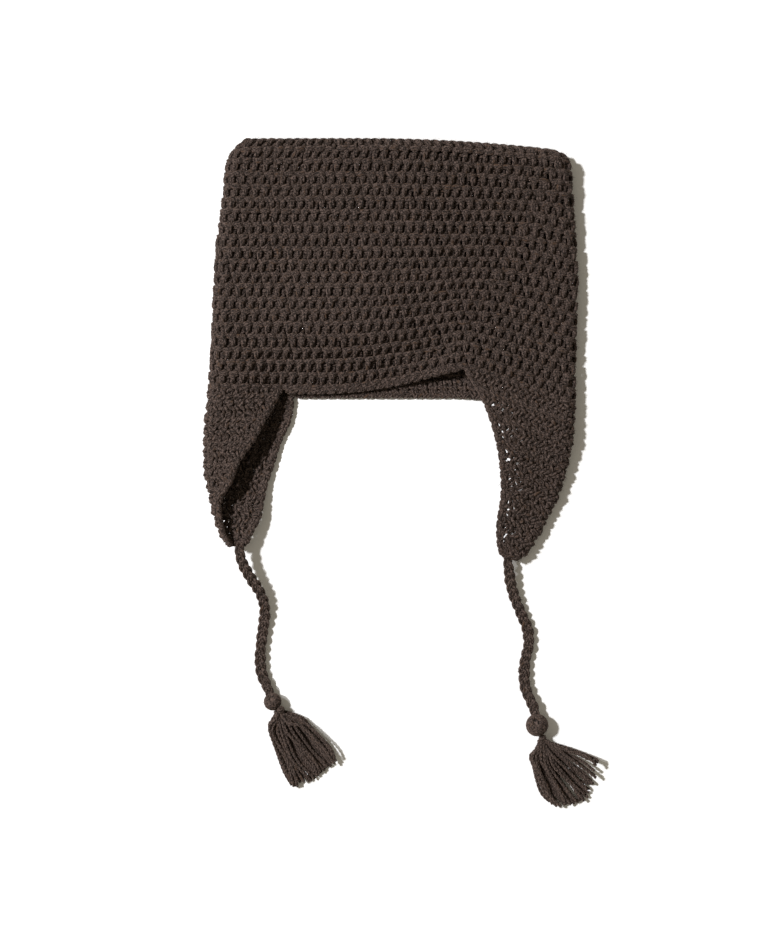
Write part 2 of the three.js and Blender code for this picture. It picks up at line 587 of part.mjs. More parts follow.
// One lock of a tassel: a flattened taper from the neck over its bulge to its cut end
function lockGeometry(neck, lock) {
  const curve = new THREE.QuadraticBezierCurve3(
    new THREE.Vector3(neck.x, neck.y, neck.z),
    new THREE.Vector3(2 * lock.midX - (neck.x + lock.tipX) / 2, 2 * lock.midY - (neck.y + lock.tipY) / 2, LOCK_RISE),
    new THREE.Vector3(lock.tipX, lock.tipY, lock.width * LOCK_FLAT + 0.4),
  );
  const builder = meshBuilder();
  const rings = [];
  for (let i = 0; i <= LOCK_STEPS; i += 1) {
    const share = i / LOCK_STEPS;
    const centre = curve.getPoint(share);
    const along = curve.getTangent(share);
    const sideways = new THREE.Vector3(-along.y, along.x, 0).normalize();
    const halfWidth = lerp(1.6, lock.width, smoothstep(share, 0, 0.5)) * lerp(1, 0.7, share ** 4);
    const ring = [];
    for (let k = 0; k < LOCK_SIDES; k += 1) {
      const angle = (2 * Math.PI * (k + 0.5)) / LOCK_SIDES;
      const point = centre.clone().addScaledVector(sideways, halfWidth * Math.cos(angle));
      point.z += halfWidth * LOCK_FLAT * Math.sin(angle);
      ring.push(builder.add(point));
    }
    rings.push(ring);
  }
  for (let i = 0; i < LOCK_STEPS; i += 1) {
    for (let k = 0; k < LOCK_SIDES; k += 1) {
      const next = (k + 1) % LOCK_SIDES;
      builder.quad(rings[i][k], rings[i][next], rings[i + 1][next], rings[i + 1][k]);
    }
  }
  for (let k = 1; k < LOCK_SIDES - 1; k += 1) {
    builder.triangle(rings[0][0], rings[0][k + 1], rings[0][k]);
    builder.triangle(rings[LOCK_STEPS][0], rings[LOCK_STEPS][k], rings[LOCK_STEPS][k + 1]);
  }
  return builder.geometry();
}

function toManifold(geometry) {
  const bare = geometry.clone();
  for (const name of Object.keys(bare.attributes)) {
    if (name !== 'position') bare.deleteAttribute(name);
  }
  const merged = cleaned(bare);
  return new wasm.Manifold(new wasm.Mesh({
    numProp: 3,
    vertProperties: new Float32Array(merged.attributes.position.array),
    triVerts: new Uint32Array(merged.index.array),
  }));
}

function fromManifold(solid) {
  const mesh = solid.getMesh();
  const geometry = new THREE.BufferGeometry();
  geometry.setAttribute('position', new THREE.BufferAttribute(new Float32Array(mesh.vertProperties), 3));
  geometry.setIndex(new THREE.BufferAttribute(new Uint32Array(mesh.triVerts), 1));
  geometry.computeVertexNormals();
  return geometry;
}

function tasselGeometry({ neck, locks }, ball) {
  const head = new THREE.SphereGeometry(neck.radius, 10, 7).translate(neck.x, neck.y, neck.z);
  let solid = toManifold(head);
  for (const lock of locks) solid = solid.add(toManifold(lockGeometry(neck, lock)));
  const room = new THREE.SphereGeometry(ball.radius + GAP, 24, 16).translate(ball.x, ball.y, ball.radius);
  return fromManifold(solid.subtract(toManifold(room)));
}

const ballGeometry = (ball) => (
  new THREE.SphereGeometry(ball.radius, 14, 10).translate(ball.x, ball.y, ball.radius)
);

const brown = (color) => new THREE.MeshStandardMaterial({ color, roughness: 0.95, metalness: 0 });
const yarn = brown(0x43362f);
const edgeYarn = brown(0x4a3b33);
const cordYarn = brown(0x3f332d);
const tasselYarn = brown(0x4d3e36);

const flaps = { left: makeFlap(LEFT_FLAP, true), right: makeFlap(RIGHT_FLAP, false) };

const hat = new THREE.Group();
function addPiece(name, geometry, material) {
  const mesh = new THREE.Mesh(geometry, material);
  mesh.name = name;
  hat.add(mesh);
}

addPiece('crown', crownGeometry(), yarn);
addPiece('ear_flap_left', flapGeometry(flaps.left, FLAP_STOPS.left), yarn);
addPiece('ear_flap_right', flapGeometry(flaps.right, FLAP_STOPS.right), yarn);
addPiece('edging', edgingGeometry(flaps), edgeYarn);
addPiece('tie_cord_left', cordGeometry(LEFT_CORD), cordYarn);
addPiece('tie_cord_right', cordGeometry(RIGHT_CORD), cordYarn);
addPiece('ball_left', ballGeometry(LEFT_BALL), cordYarn);
addPiece('ball_right', ballGeometry(RIGHT_BALL), cordYarn);
addPiece('tassel_left', tasselGeometry(LEFT_TASSEL, LEFT_BALL), tasselYarn);
addPiece('tassel_right', tasselGeometry(RIGHT_TASSEL, RIGHT_BALL), tasselYarn);

// The origin is under the middle of the hat itself, without its ties
const hatBox = new THREE.Box3();
for (const name of ['crown', 'ear_flap_left', 'ear_flap_right', 'edging']) {
  hatBox.expandByObject(hat.getObjectByName(name));
}
const centre = hatBox.getCenter(new THREE.Vector3());
hat.position.set(-centre.x, -centre.y, 0);

export default hat;
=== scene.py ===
# %% [markdown]
# # An earflap hat, crocheted in Blender
# The hat is a flattened tube of thick brown yarn with two folded earflaps, a finer edging, and a tie
# cord, a yarn ball and a tassel at the tip of each flap. It could be a smooth shell with a stitch
# pattern painted on, but crochet is mostly holes and shadows. So every stitch here is a real length
# of yarn: one short table says how the yarn loops through a stitch, and loops of code repeat it over
# the same surfaces that the solid model was built from.

# %% Load the solid model
import math

import bpy
import numpy as np
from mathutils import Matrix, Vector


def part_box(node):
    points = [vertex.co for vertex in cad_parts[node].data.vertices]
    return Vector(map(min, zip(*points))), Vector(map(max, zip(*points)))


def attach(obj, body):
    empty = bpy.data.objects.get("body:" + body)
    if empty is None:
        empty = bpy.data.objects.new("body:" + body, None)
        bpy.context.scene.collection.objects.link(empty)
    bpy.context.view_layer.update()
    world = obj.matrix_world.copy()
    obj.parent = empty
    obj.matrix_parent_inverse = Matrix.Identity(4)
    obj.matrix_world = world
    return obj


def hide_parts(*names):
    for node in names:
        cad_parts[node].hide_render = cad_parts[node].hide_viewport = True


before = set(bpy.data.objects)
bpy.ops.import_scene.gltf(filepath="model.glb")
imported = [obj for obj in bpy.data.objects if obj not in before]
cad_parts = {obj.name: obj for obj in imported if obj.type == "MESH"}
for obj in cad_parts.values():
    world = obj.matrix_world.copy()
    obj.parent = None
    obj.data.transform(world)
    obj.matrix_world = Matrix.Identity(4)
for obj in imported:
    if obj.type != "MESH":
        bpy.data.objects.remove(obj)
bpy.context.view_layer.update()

# %% [markdown]
# ## Millimetres, and where the hat lies
# The tables below are in millimetres, as the maker of the solid model measured them, before the hat
# was moved over its origin. The left yarn ball tells how far it was moved: its place in the tables is
# known, and its place in the loaded model can be measured.

# %% From millimetres to the scene
MM = 0.001
LEFT_BALL = {"x": -87.4, "y": -261.4, "radius": 6.8}
RIGHT_BALL = {"x": 108.3, "y": -278.6, "radius": 8.6}

ball_low, ball_high = (np.array(corner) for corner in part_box("ball_left"))
ball_middle = (ball_low + ball_high) / 2
HAT_SHIFT = ball_middle - np.array([LEFT_BALL["x"], LEFT_BALL["y"], LEFT_BALL["radius"]]) * MM


def to_scene(points):
    """Points in hat millimetres, as metres in the scene."""
    return np.asarray(points, float) * MM + HAT_SHIFT


print("the hat was moved by", np.round(HAT_SHIFT / MM, 2), "mm")

# %% [markdown]
# ## The camera
# The photograph looks straight down on the hat. A long lens far above keeps the raised layers in
# line with the lower ones. One pixel of the 780 by 936 picture is 0.74 mm of hat, which gives the
# height of the camera once the lens is chosen.

# %% Camera
PICTURE_WIDTH, PICTURE_HEIGHT = 780, 936
MM_PER_PIXEL = 0.74
MIDDLE_PIXEL = (390.65, 348.5)
PLANE_HEIGHT = 8.0

camera_data = bpy.data.cameras.new("camera")
camera_data.lens = 120
camera_data.sensor_width = 36
frame_height = PICTURE_HEIGHT * MM_PER_PIXEL
camera_distance = frame_height * camera_data.lens / camera_data.sensor_width
camera = bpy.data.objects.new("camera", camera_data)
bpy.context.scene.collection.objects.link(camera)
camera.location = to_scene([
    (PICTURE_WIDTH / 2 - MIDDLE_PIXEL[0]) * MM_PER_PIXEL,
    (MIDDLE_PIXEL[1] - PICTURE_HEIGHT / 2) * MM_PER_PIXEL,
    PLANE_HEIGHT + camera_distance,
])
camera_data.clip_end = 20
bpy.context.scene.camera = camera
print("camera height", round(camera.location.z, 3), "m")

# %% [markdown]
# ## Yarn as a tube
# Yarn is a round thread that follows a line. A Blender curve with a bevel could make it, but hundreds
# of rows are faster and easier to dress as one mesh. A tube needs two directions across its line at
# every point. They are carried from point to point with no turn of their own, because a frame that
# is worked out afresh at each point would flip where the yarn doubles back. A second helper measures
# how far along a line each of its points lies.

# %% Which way a tube may turn
GOLDEN = 0.618


def travelled_along(line):
    """Distance from the start of a line of points (N, 3) to each of them."""
    return np.concatenate([[0], np.cumsum(np.linalg.norm(np.diff(line, axis=0), axis=1))])


def frames_along(points):
    """Directions across each line of points (P, N, 3), carried along it with as little twist as can be."""
    forward = np.gradient(points, axis=1)
    forward /= np.linalg.norm(forward, axis=2, keepdims=True) + 1e-9
    first = np.zeros_like(forward[:, 0])
    first[np.arange(len(first)), np.abs(forward[:, 0]).argmin(1)] = 1
    sides = np.empty_like(forward)
    side = np.cross(forward[:, 0], first)
    for i in range(points.shape[1]):
        ahead = forward[:, i]
        side = side - ahead * (side * ahead).sum(1, keepdims=True)
        side = side / (np.linalg.norm(side, axis=1, keepdims=True) + 1e-9)
        sides[:, i] = side
    return sides, np.cross(forward, sides)


# %% [markdown]
# ## Fuzz
# Wool is never smooth: short fibres stand off the yarn and blur its outline. Blender's hair could
# grow them, but hair doesn't travel with an exported mesh. Each fibre here is a ribbon of two small
# faces that starts on the yarn, leans over and curls a little. They grow only on the side of the
# fabric that is seen.

# %% Stray fibres
FIBRE_LENGTH = (1.0, 3.2)
FIBRE_WIDTH = 0.15
FIBRE_ROOT = 0.92
FIBRE_RISE = 0.3
FIBRE_WANDER = 0.9
FIBRE_CURL = 0.3
FIBRE_LOWEST = 0.1
fibre_random = np.random.default_rng(3)


def stray_fibres(paths, across, up, radius, outward, count):
    """Corners (F, 6, 3) of thin ribbons that stand off the yarn."""
    sizes = np.array([len(path) for path in paths])
    which = fibre_random.choice(len(paths), count * 4, p=sizes / sizes.sum())
    ring = (fibre_random.uniform(0, 1, count * 4) * (sizes[which] - 1)).astype(int)
    angle = fibre_random.uniform(0, 2 * np.pi, count * 4)[:, None]
    side, high = across[which, ring], up[which, ring]
    away = np.cos(angle) * side + np.sin(angle) * high
    if outward is None:
        keep = away[:, 2] > -0.5
    else:
        facing = np.concatenate(outward)[np.concatenate([[0], np.cumsum(sizes)])[which] + ring]
        keep = ((away * facing).sum(1) > 0.3) & (facing[:, 2] > -0.6)
    which, ring, away, side, high = (v[keep][:count] for v in (which, ring, away, side, high))
    thick = np.array([radius if np.isscalar(radius) else radius[w][r] for w, r in zip(which, ring)])
    root = np.concatenate(paths)[np.concatenate([[0], np.cumsum(sizes)])[which] + ring]
    root = root + away * (thick * FIBRE_ROOT)[:, None]
    lean = np.cross(side, high) + fibre_random.normal(0, FIBRE_WANDER, away.shape)
    lean -= away * (lean * away).sum(1, keepdims=True)
    lean /= np.linalg.norm(lean, axis=1, keepdims=True)
    length = fibre_random.uniform(*FIBRE_LENGTH, len(which))[:, None]
    flat = np.cross(away, lean)
    curl = flat * fibre_random.normal(0, FIBRE_CURL, len(which))[:, None]
    middle = root + length * (FIBRE_RISE * away + 0.4 * lean)
    tip = root + length * (FIBRE_RISE * away + 0.9 * lean + curl)
    half = flat * FIBRE_WIDTH / 2
    corners = np.stack([root - half, root + half, middle - half, middle + half,
                        tip - half * 0.4, tip + half * 0.4], 1)
    corners[..., 2] = np.maximum(corners[..., 2], FIBRE_LOWEST)
    return corners


# %% [markdown]
# ## One mesh for many lengths of yarn
# A piece of the hat is a list of lines and a thickness. This helper sets a ring of corners round every
# point, joins the rings with faces, closes the ends and adds the fuzz. It also keeps a map: how far
# along the yarn each corner is, and how far round it. The material later draws the twisted plies with
# that map, so the plies follow every loop. Corners that would sink into the floor are raised onto it,
# as soft yarn flattens under the hat's own weight.

# %% Tubes of yarn
LOWEST = 0.02


def yarn_mesh(name, paths, radius, sides=5, fibres=0, outward=None):
    """One object of yarn tubes along paths, each an array (N, 3) in hat millimetres. radius is a number
    or one array for each path. fibres is the number of stray fibres."""
    longest = max(len(path) for path in paths)
    padded = np.stack([np.concatenate([p, np.repeat(p[-1:], longest - len(p), 0)]) for p in paths])
    across, up = frames_along(padded)
    turn = 2 * np.pi * np.arange(sides) / sides
    points, quads, caps, alongs, rounds = [], [], [], [], []
    corner_count = 0
    for which, path in enumerate(paths):
        count = len(path)
        thick = np.broadcast_to(radius if np.isscalar(radius) else radius[which], count)[:, None, None]
        ring = (np.cos(turn)[None, :, None] * across[which, :count, None]
                + np.sin(turn)[None, :, None] * up[which, :count, None])
        points.append((path[:, None] + thick * ring).reshape(-1, 3))
        index = corner_count + np.arange(count * sides).reshape(count, sides)
        after = np.roll(index, -1, axis=1)
        quads.append(np.stack([index[:-1], after[:-1], after[1:], index[1:]], -1).reshape(-1, 4))
        caps += [index[0][::-1].tolist(), index[-1].tolist()]
        travelled = travelled_along(path)
        travelled += 1000 * ((which * GOLDEN) % 1)
        near, far = travelled[:-1], travelled[1:]
        alongs.append(np.repeat(np.stack([near, near, far, far], -1), sides, axis=0))
        low = np.arange(sides) / sides
        high = low + 1 / sides
        rounds.append(np.tile(np.stack([low, high, high, low], -1), (count - 1, 1)))
        corner_count += count * sides
    if fibres:
        strays = stray_fibres(paths, across, up, radius, outward, fibres)
        points.append(strays.reshape(-1, 3))
        index = corner_count + np.arange(len(strays) * 6).reshape(-1, 6)
        quads += [index[:, [0, 1, 3, 2]], index[:, [2, 3, 5, 4]]]
        places_along = fibre_random.uniform(0, 900, len(strays))
        for start in (0, 1):
            near = places_along + start
            alongs.append(np.stack([near, near, near + 1, near + 1], -1))
            rounds.append(np.tile([0.1, 0.2, 0.2, 0.1], (len(strays), 1)))
    corners = np.concatenate(points)
    corners[:, 2] = np.maximum(corners[:, 2], LOWEST)
    quads = np.concatenate(quads)
    mesh = bpy.data.meshes.new(name)
    mesh.from_pydata(to_scene(corners).tolist(), [], quads.tolist() + caps)
    map_layer = mesh.uv_layers.new(name="yarn")
    places = np.zeros((len(mesh.loops), 2), np.float32)
    flat_along = np.concatenate(alongs).ravel()
    places[:len(flat_along), 0] = flat_along
    places[:len(flat_along), 1] = np.concatenate(rounds).ravel()
    map_layer.uv.foreach_set("vector", places.ravel())
    mesh.polygons.foreach_set("use_smooth", np.ones(len(mesh.polygons), bool))
    mesh.update()
    piece = bpy.data.objects.new(name, mesh)
    bpy.context.scene.collection.objects.link(piece)
    triangles = 2 * len(quads) + len(caps) * (sides - 2)
    print(f"{name}: {len(paths)} lengths of yarn, {triangles} triangles")
    return piece


# %% [markdown]
# ## Smooth lines through a few points
# Cords, strands and stitches all start as a handful of points. This helper runs one smooth line
# through them (a Catmull-Rom curve) and returns as many points as asked, evenly spaced.

# %% Smooth lines
def smoothstep(value, low, high):
    """0 below low, 1 above high, and a soft step between them."""
    share = np.clip((value - low) / (high - low), 0, 1)
    return share * share * (3 - 2 * share)


def catmull_rom(points, at):
    """The curve through points (N, 3) at fractional places along the list."""
    points = np.asarray(points, float)
    last = len(points) - 1
    i = np.clip(np.floor(at).astype(int), 0, last - 1)
    t = (np.asarray(at) - i)[:, None]
    before, here = points[np.maximum(i - 1, 0)], points[i]
    there, after = points[i + 1], points[np.minimum(i + 2, last)]
    return 0.5 * (2 * here + (there - before) * t + (2 * before - 5 * here + 4 * there - after) * t ** 2
                  + (3 * here - before - 3 * there + after) * t ** 3)


def evenly(line, count):
    """count points evenly spaced along a line of points, without smoothing it."""
    travelled = travelled_along(line)
    stops = np.linspace(0, travelled[-1], count)
    return np.stack([np.interp(stops, travelled, line[:, k]) for k in range(3)], 1)


def even_line(points, count):
    """count points evenly spaced along the smooth curve through points, and the curve's length."""
    fine = catmull_rom(points, np.linspace(0, len(points) - 1, 24 * len(points)))
    return evenly(fine, count), travelled_along(fine)[-1]


# %% [markdown]
# ## The tie cords
# Each tie is a plait of three strands, and each strand is a pair of yarns. In a plait every strand
# swings from side to side once while it goes over and under twice, so a strand is a sine wave
# sideways and a wave of twice that rate up and down. The cord's own line is the one that the solid
# model uses, point for point, so that the plait lies where the plain tube lay. At both ends the plait
# gets thinner and is tucked a little way into the flap's tip and into the yarn ball.

# %% Routes of the ties
LEFT_CORD = [
    (-111.6, -147.1, 15.4), (-110.5, -155.4, 15), (-107.8, -161.7, 14.2), (-104.1, -168.4, 13),
    (-100.4, -174.3, 11.6), (-97, -179.5, 10.2), (-94.8, -185.4, 8.4), (-93.4, -190.9, 6.8),
    (-93.3, -198, 5), (-94.1, -204, 4.2), (-95.6, -215, 3.9), (-96.7, -226.5, 3.9),
    (-96.2, -237.9, 4), (-94.5, -243.8, 4.4), (-92.7, -247.9, 5), (-89.9, -254.3, 6.2),
]
RIGHT_CORD = [
    (86.6, -156.5, 8.8), (87.6, -164.7, 8.2), (89.1, -175, 7), (92.8, -187.3, 5.6),
    (95.3, -192.8, 5), (97.3, -198, 4.6), (101.1, -206.8, 4.2), (102.4, -217.5, 4),
    (101.3, -224.6, 4), (99.6, -231.1, 4), (98.9, -243.1, 4.4), (99.6, -249.8, 5.2),
    (101.1, -255.3, 6.2), (105, -263.8, 7.8), (106.9, -269.6, 8.5),
]
PLAIT_LENGTH = 19.0
PLAIT_SWING = 2.3
PLAIT_LIFT = 1.5
CORD_YARN = 1.15
PAIR_APART = 0.9
PAIR_FORWARD, PAIR_SIDE, PAIR_UP = 0.75, 0.62, 0.2
CORD_RINGS = 160
TUCK = 2.2
END_SWING = 0.6
END_LENGTH = 9
UNEVEN_SWING = 0.12


def plait(line, length, swing, lift, apart):
    """Yarn paths of a three-strand plait, two yarns to a strand, round a line of points."""
    along = np.linspace(0, length, len(line))
    forward = np.gradient(line, axis=0)
    forward /= np.linalg.norm(forward, axis=1, keepdims=True)
    side = np.cross(forward, [0, 0, 1.0])
    side /= np.linalg.norm(side, axis=1, keepdims=True)
    up = np.cross(side, forward)
    paths = []
    for strand in range(3):
        phase = 2 * np.pi * (along / PLAIT_LENGTH + strand / 3)
        middle = line + side * (swing * np.sin(phase))[:, None] + up * (lift * np.sin(2 * phase))[:, None]
        spread = forward * (-np.cos(phase)[:, None] * PAIR_FORWARD) + side * PAIR_SIDE + up * PAIR_UP
        spread /= np.linalg.norm(spread, axis=1, keepdims=True)
        paths += [middle - apart * spread, middle + apart * spread]
    return paths


def tie_cord(name, route, ball):
    """The plait of one tie, its middle line in the scene and its length in metres."""
    line, length = even_line(route, CORD_RINGS)
    root, end = np.array(route[0]), np.array(route[-1])
    backward = root - np.array(route[1])
    inward = np.array([ball["x"], ball["y"], ball["radius"]]) - end
    tucked = [root + TUCK * backward / np.linalg.norm(backward), *map(np.array, route),
              end + TUCK * inward / np.linalg.norm(inward)]
    yarn_line, yarn_length = even_line(tucked, CORD_RINGS)
    along = np.linspace(0, yarn_length, CORD_RINGS)
    from_end = np.minimum(along, yarn_length - along)
    full = END_SWING + (1 - END_SWING) * np.clip(from_end / END_LENGTH, 0, 1)
    uneven = 1 + UNEVEN_SWING * np.sin(along * 0.31 + len(name)) * np.sin(along * 0.13)
    paths = plait(yarn_line, yarn_length, PLAIT_SWING * full * uneven, PLAIT_LIFT * full, PAIR_APART)
    piece = yarn_mesh(name, paths, CORD_YARN, sides=6, fibres=1200)
    print(f"{name} is {length:.1f} mm long")
    return piece, to_scene(line), length * MM


tie_left, tie_left_line, tie_left_length = tie_cord("tie_plait_left", LEFT_CORD, LEFT_BALL)
tie_right, tie_right_line, tie_right_length = tie_cord("tie_plait_right", RIGHT_CORD, RIGHT_BALL)

# %% [markdown]
# ## The yarn balls
# A wound ball shows bands of parallel yarn that cross each other. One thread round a sphere does
# that, if the plane of each turn is tilted and turned a little further than that of the last. A plain
# core inside keeps light from shining through. A few turns of the same kind make the small knot that
# ties each tassel.

# %% Balls
TURN_TILT = math.radians(55)
TILT_SWING = math.radians(28)
TILT_WAVES = 3
TILT_ROUNDS = 5 * GOLDEN
BALL_INSET = 0.12
BALL_GROWTH = 0.45
CORE_SHARE = 0.8
CORE_TIP = 0.05


def wound_path(centre, radius, turns, steps=26):
    """One thread wound round a sphere. The turns grow a little, so that later ones lie on top."""
    t = np.linspace(0, 1, turns * steps)
    angle = 2 * np.pi * turns * t
    swing = 2 * np.pi * t * TILT_ROUNDS
    tilt = TURN_TILT + TILT_SWING * np.sin(2 * np.pi * t * TILT_WAVES)
    axis = np.stack([np.sin(tilt) * np.cos(swing), np.sin(tilt) * np.sin(swing), np.cos(tilt)], 1)
    one = np.cross(axis, [0.3, 0.2, 1.0])
    one /= np.linalg.norm(one, axis=1, keepdims=True)
    other = np.cross(axis, one)
    reach = radius - BALL_INSET - BALL_GROWTH * (1 - t[:, None])
    return np.asarray(centre) + reach * (np.cos(angle)[:, None] * one + np.sin(angle)[:, None] * other)


def wound_ball(name, ball, turns, yarn):
    centre = np.array([ball["x"], ball["y"], ball["radius"]])
    path = wound_path(centre, ball["radius"] - yarn, turns)
    heights = np.linspace(-1, 1, 9)
    core = centre + np.outer(heights, [0, 0, 1]) * ball["radius"] * CORE_SHARE
    core_width = np.sqrt(1 - heights ** 2) * ball["radius"] * CORE_SHARE + CORE_TIP
    return yarn_mesh(name, [path, core], [np.full(len(path), yarn), core_width], sides=7, fibres=300)


ball_left = wound_ball("wound_ball_left", LEFT_BALL, turns=34, yarn=1.1)
ball_right = wound_ball("wound_ball_right", RIGHT_BALL, turns=44, yarn=1.15)

# %% [markdown]
# ## The tassels
# A tassel is a bundle of cut yarns tied at the neck. They leave the neck close together, bulge, and
# fan out flat on the floor. The fan is described by a few guide strands, each by the place where it
# bulges and the place of its tip, and the yarns are spread between neighbouring guides. About a
# quarter of them are thicker and ride high, so that they throw dark stripes on the low ones, and the
# last ones at the right stand up a little. Each yarn is two plies twisted together, because here the
# yarns can be seen one by one.

# %% Tassels
LEFT_FAN = {
    "neck": (-83.2, -268.6, 5.4),
    "knot": (-81.2, -267.2, 8.4),
    "crowd": ([0, 0.2, 0.76, 1], [0, 0.18, 0.8, 1]),
    "guides": [
        (-90.0, -281.5, -72.4, -324.5), (-87.6, -285, -70, -325.5), (-84, -288, -64.5, -323.6),
        (-78, -290, -57, -320.5), (-72, -289, -50.6, -317), (-67, -285, -44.0, -310.6),
        (-63.4, -274.5, -39.6, -304),
    ],
    "lift": 5,
}
RIGHT_FAN = {
    "neck": (111.8, -289.6, 5.8),
    "knot": (112.4, -288.6, 6.6),
    "crowd": ([0, 0.8, 1], [0, 0.72, 1]),
    "guides": [
        (103.4, -303, 115.6, -334), (106.4, -307, 122.6, -340.2), (110.6, -309.5, 129.6, -339.6),
        (116.4, -311, 136.2, -339.4), (121.2, -310, 143.6, -335.4), (126, -307, 149.6, -328.4),
        (130.4, -302, 153.0, -319), (133.4, -296.4, 154.0, -305.6),
    ],
    "lift": 9,
}
STRAND_COUNT = 50
STRAND_RINGS = 34
HIGH_SHARE = 0.24
HIGH_LAYER, LOW_LAYER = 0.75, 0.3
BULGE_LOW, BULGE_RISE = 1.8, 6.6
TIP_LOW, TIP_RISE = 1.5, 5
LIFT_FROM, LIFT_FULL = 0.82, 0.98
NEAR_SCATTER, FAR_SCATTER, TIP_SCATTER = 1.0, 1.9, 0.7
STRAND_PLY = 0.86
PLY_APART = 0.42
PLY_LENGTH = 7.0
NECK_RADIUS = 2.4
KNOT_YARN = 0.8
KNOT_RADIUS = 2.3
KNOT_TURNS = 9
KNOT_STEPS = 18


def strand_line(strand, neck, fan, random):
    """One cut yarn from the neck over its bulge to its tip: its middle line, its length and how high
    it rides."""
    guides = np.array(fan["guides"], float)
    share = (strand + random.uniform(-0.6, 0.6)) / (STRAND_COUNT - 1)
    place = np.interp(share, *fan["crowd"]) * (len(guides) - 1)
    low = min(int(place), len(guides) - 2)
    mix = place - low
    bulge_x, bulge_y, tip_x, tip_y = guides[low] * (1 - mix) + guides[low + 1] * mix
    turn = (strand * GOLDEN) % 1
    layer = HIGH_LAYER + turn if turn < HIGH_SHARE else LOW_LAYER * turn
    lifted = fan["lift"] * float(smoothstep(share, LIFT_FROM, LIFT_FULL))
    middle = np.array([bulge_x, bulge_y, BULGE_LOW + BULGE_RISE * layer + lifted * 0.4])
    tip = np.array([tip_x, tip_y, TIP_LOW + TIP_RISE * layer * random.uniform(0.3, 1) + lifted])
    inward = neck[:2] - middle[:2]
    middle[:2] += inward * random.uniform(-0.03, 0.14) * min(layer, 1)
    start = neck + random.normal(0, 1, 3) * NECK_RADIUS * np.array([0.4, 0.4, 0.35])
    near = neck * 0.45 + middle * 0.55
    near[:2] += random.normal(0, NEAR_SCATTER, 2)
    near[2] = neck[2] + (middle[2] - neck[2]) * 0.7
    far = middle * 0.42 + tip * 0.58
    far[:2] += random.normal(0, FAR_SCATTER, 2)
    far[2] = middle[2] * 0.45 + tip[2] * 0.55
    tip = far + (tip - far) * random.uniform(0.7, 1.0)
    tip[:2] += random.normal(0, TIP_SCATTER, 2)
    line, length = even_line([start, near, middle, far, tip], STRAND_RINGS)
    line[:, 2] = np.maximum(line[:, 2], STRAND_PLY + PLY_APART)
    return line, length, layer


def tassel(name, fan, seed):
    random = np.random.default_rng(seed)
    neck = np.array(fan["neck"], float)
    paths, widths = [], []
    for strand in range(STRAND_COUNT):
        line, length, layer = strand_line(strand, neck, fan, random)
        twist = 2 * np.pi * (np.linspace(0, length, len(line)) / PLY_LENGTH + random.uniform())
        across, up = (d[0] for d in frames_along(line[None]))
        thick = random.uniform(0.85, 1.0) + 0.14 * layer
        offset = PLY_APART * thick * (np.cos(twist)[:, None] * across + np.sin(twist)[:, None] * up)
        paths += [line + offset, line - offset]
        widths += [np.full(len(line), STRAND_PLY * thick)] * 2
    knot = wound_path(fan["knot"], KNOT_RADIUS, KNOT_TURNS, KNOT_STEPS)
    return yarn_mesh(name, [*paths, knot], [*widths, np.full(len(knot), KNOT_YARN)], fibres=2000)


tassel_left = tassel("tassel_strands_left", LEFT_FAN, seed=11)
tassel_right = tassel("tassel_strands_right", RIGHT_FAN, seed=12)

# %% [markdown]
# ## The ties' middle lines
# The line of points is the one that the plait was wound round.

# %% [markdown]
# ## The surface of the crown
# The crown is a tube lying flat: a front and a back layer that meet in round folds left and right and
# in a closed top. The same few tables and formulas as in the solid model give any point on the middle
# of the fabric from two numbers: how far round the tube, and how far down from the closed top. Here
# they are written for whole arrays of points at once, because there are many thousands of them.

# %% Tables of the crown
WALL = 6.0
HALF_WALL = WALL / 2
EDGING_WIDTH = 4.7
EDGE_BAND = 5.0
TOP_LINE = 152.8
TOP_RADIUS = 6.0
TOP_ARC = TOP_RADIUS * math.pi / 2
CROWN_DEPTH = 186.5
CROWN_REACH = TOP_ARC + CROWN_DEPTH - TOP_RADIUS
CROWN_END = CROWN_REACH - EDGE_BAND
CROWN_COLUMNS = ("left", "right", "foldLeft", "foldRight", "swell")
CROWN_DOWN = (0, 3, 8, 16, 43, 81, 117, 150, 191)
CROWN_ROWS = np.array([
    (-109, 121, 6, 6.5, 1),
    (-113, 130, 6.2, 6.8, 2),
    (-118.4, 134, 6.5, 7, 3),
    (-122.4, 135, 7, 6.6, 4),
    (-125.6, 136.5, 7.4, 5.4, 5.5),
    (-130.4, 139.4, 7.6, 4.8, 6.5),
    (-132.2, 139, 7.6, 4.8, 6.5),
    (-133.8, 138, 7.8, 5, 5),
    (-136.6, 137.6, 7.2, 6, 0),
])
BROW_PEAK = {"x": 52, "lift": 20.3, "from": -60, "rise": 2.1, "startDown": 60}
SEAM = {"topX": 121.6, "topDown": 40, "slant": 0.503, "soften": 14}
RIGHT_DROP = {"top": 0.3, "bottom": 0.37}
TOP_DROOP = {"from": -20, "width": 140, "depth": 8, "fade": 60}
NAPE_DROP = 3
BROW_SAG = {"start": 0.03, "full": 0.2, "until": 0.46, "end": 0.7, "gap": 6.8, "height": 50}
BROW_RISE = {"at": 0.72, "width": 0.1, "height": 2.2}
print("width of the crown at the top and at the brow:", np.ptp(CROWN_ROWS[[0, -1], :2], axis=1), "mm")

# %% [markdown]
# ## Blending the rows of a table
# The table has a row only where the outline changes, and fabric has no corners in between. Straight
# blending would show a crease at each row. A cubic blend of the four nearest rows passes smoothly
# through every row, and it gives the weights alone, so that one helper serves the crown and the flaps.

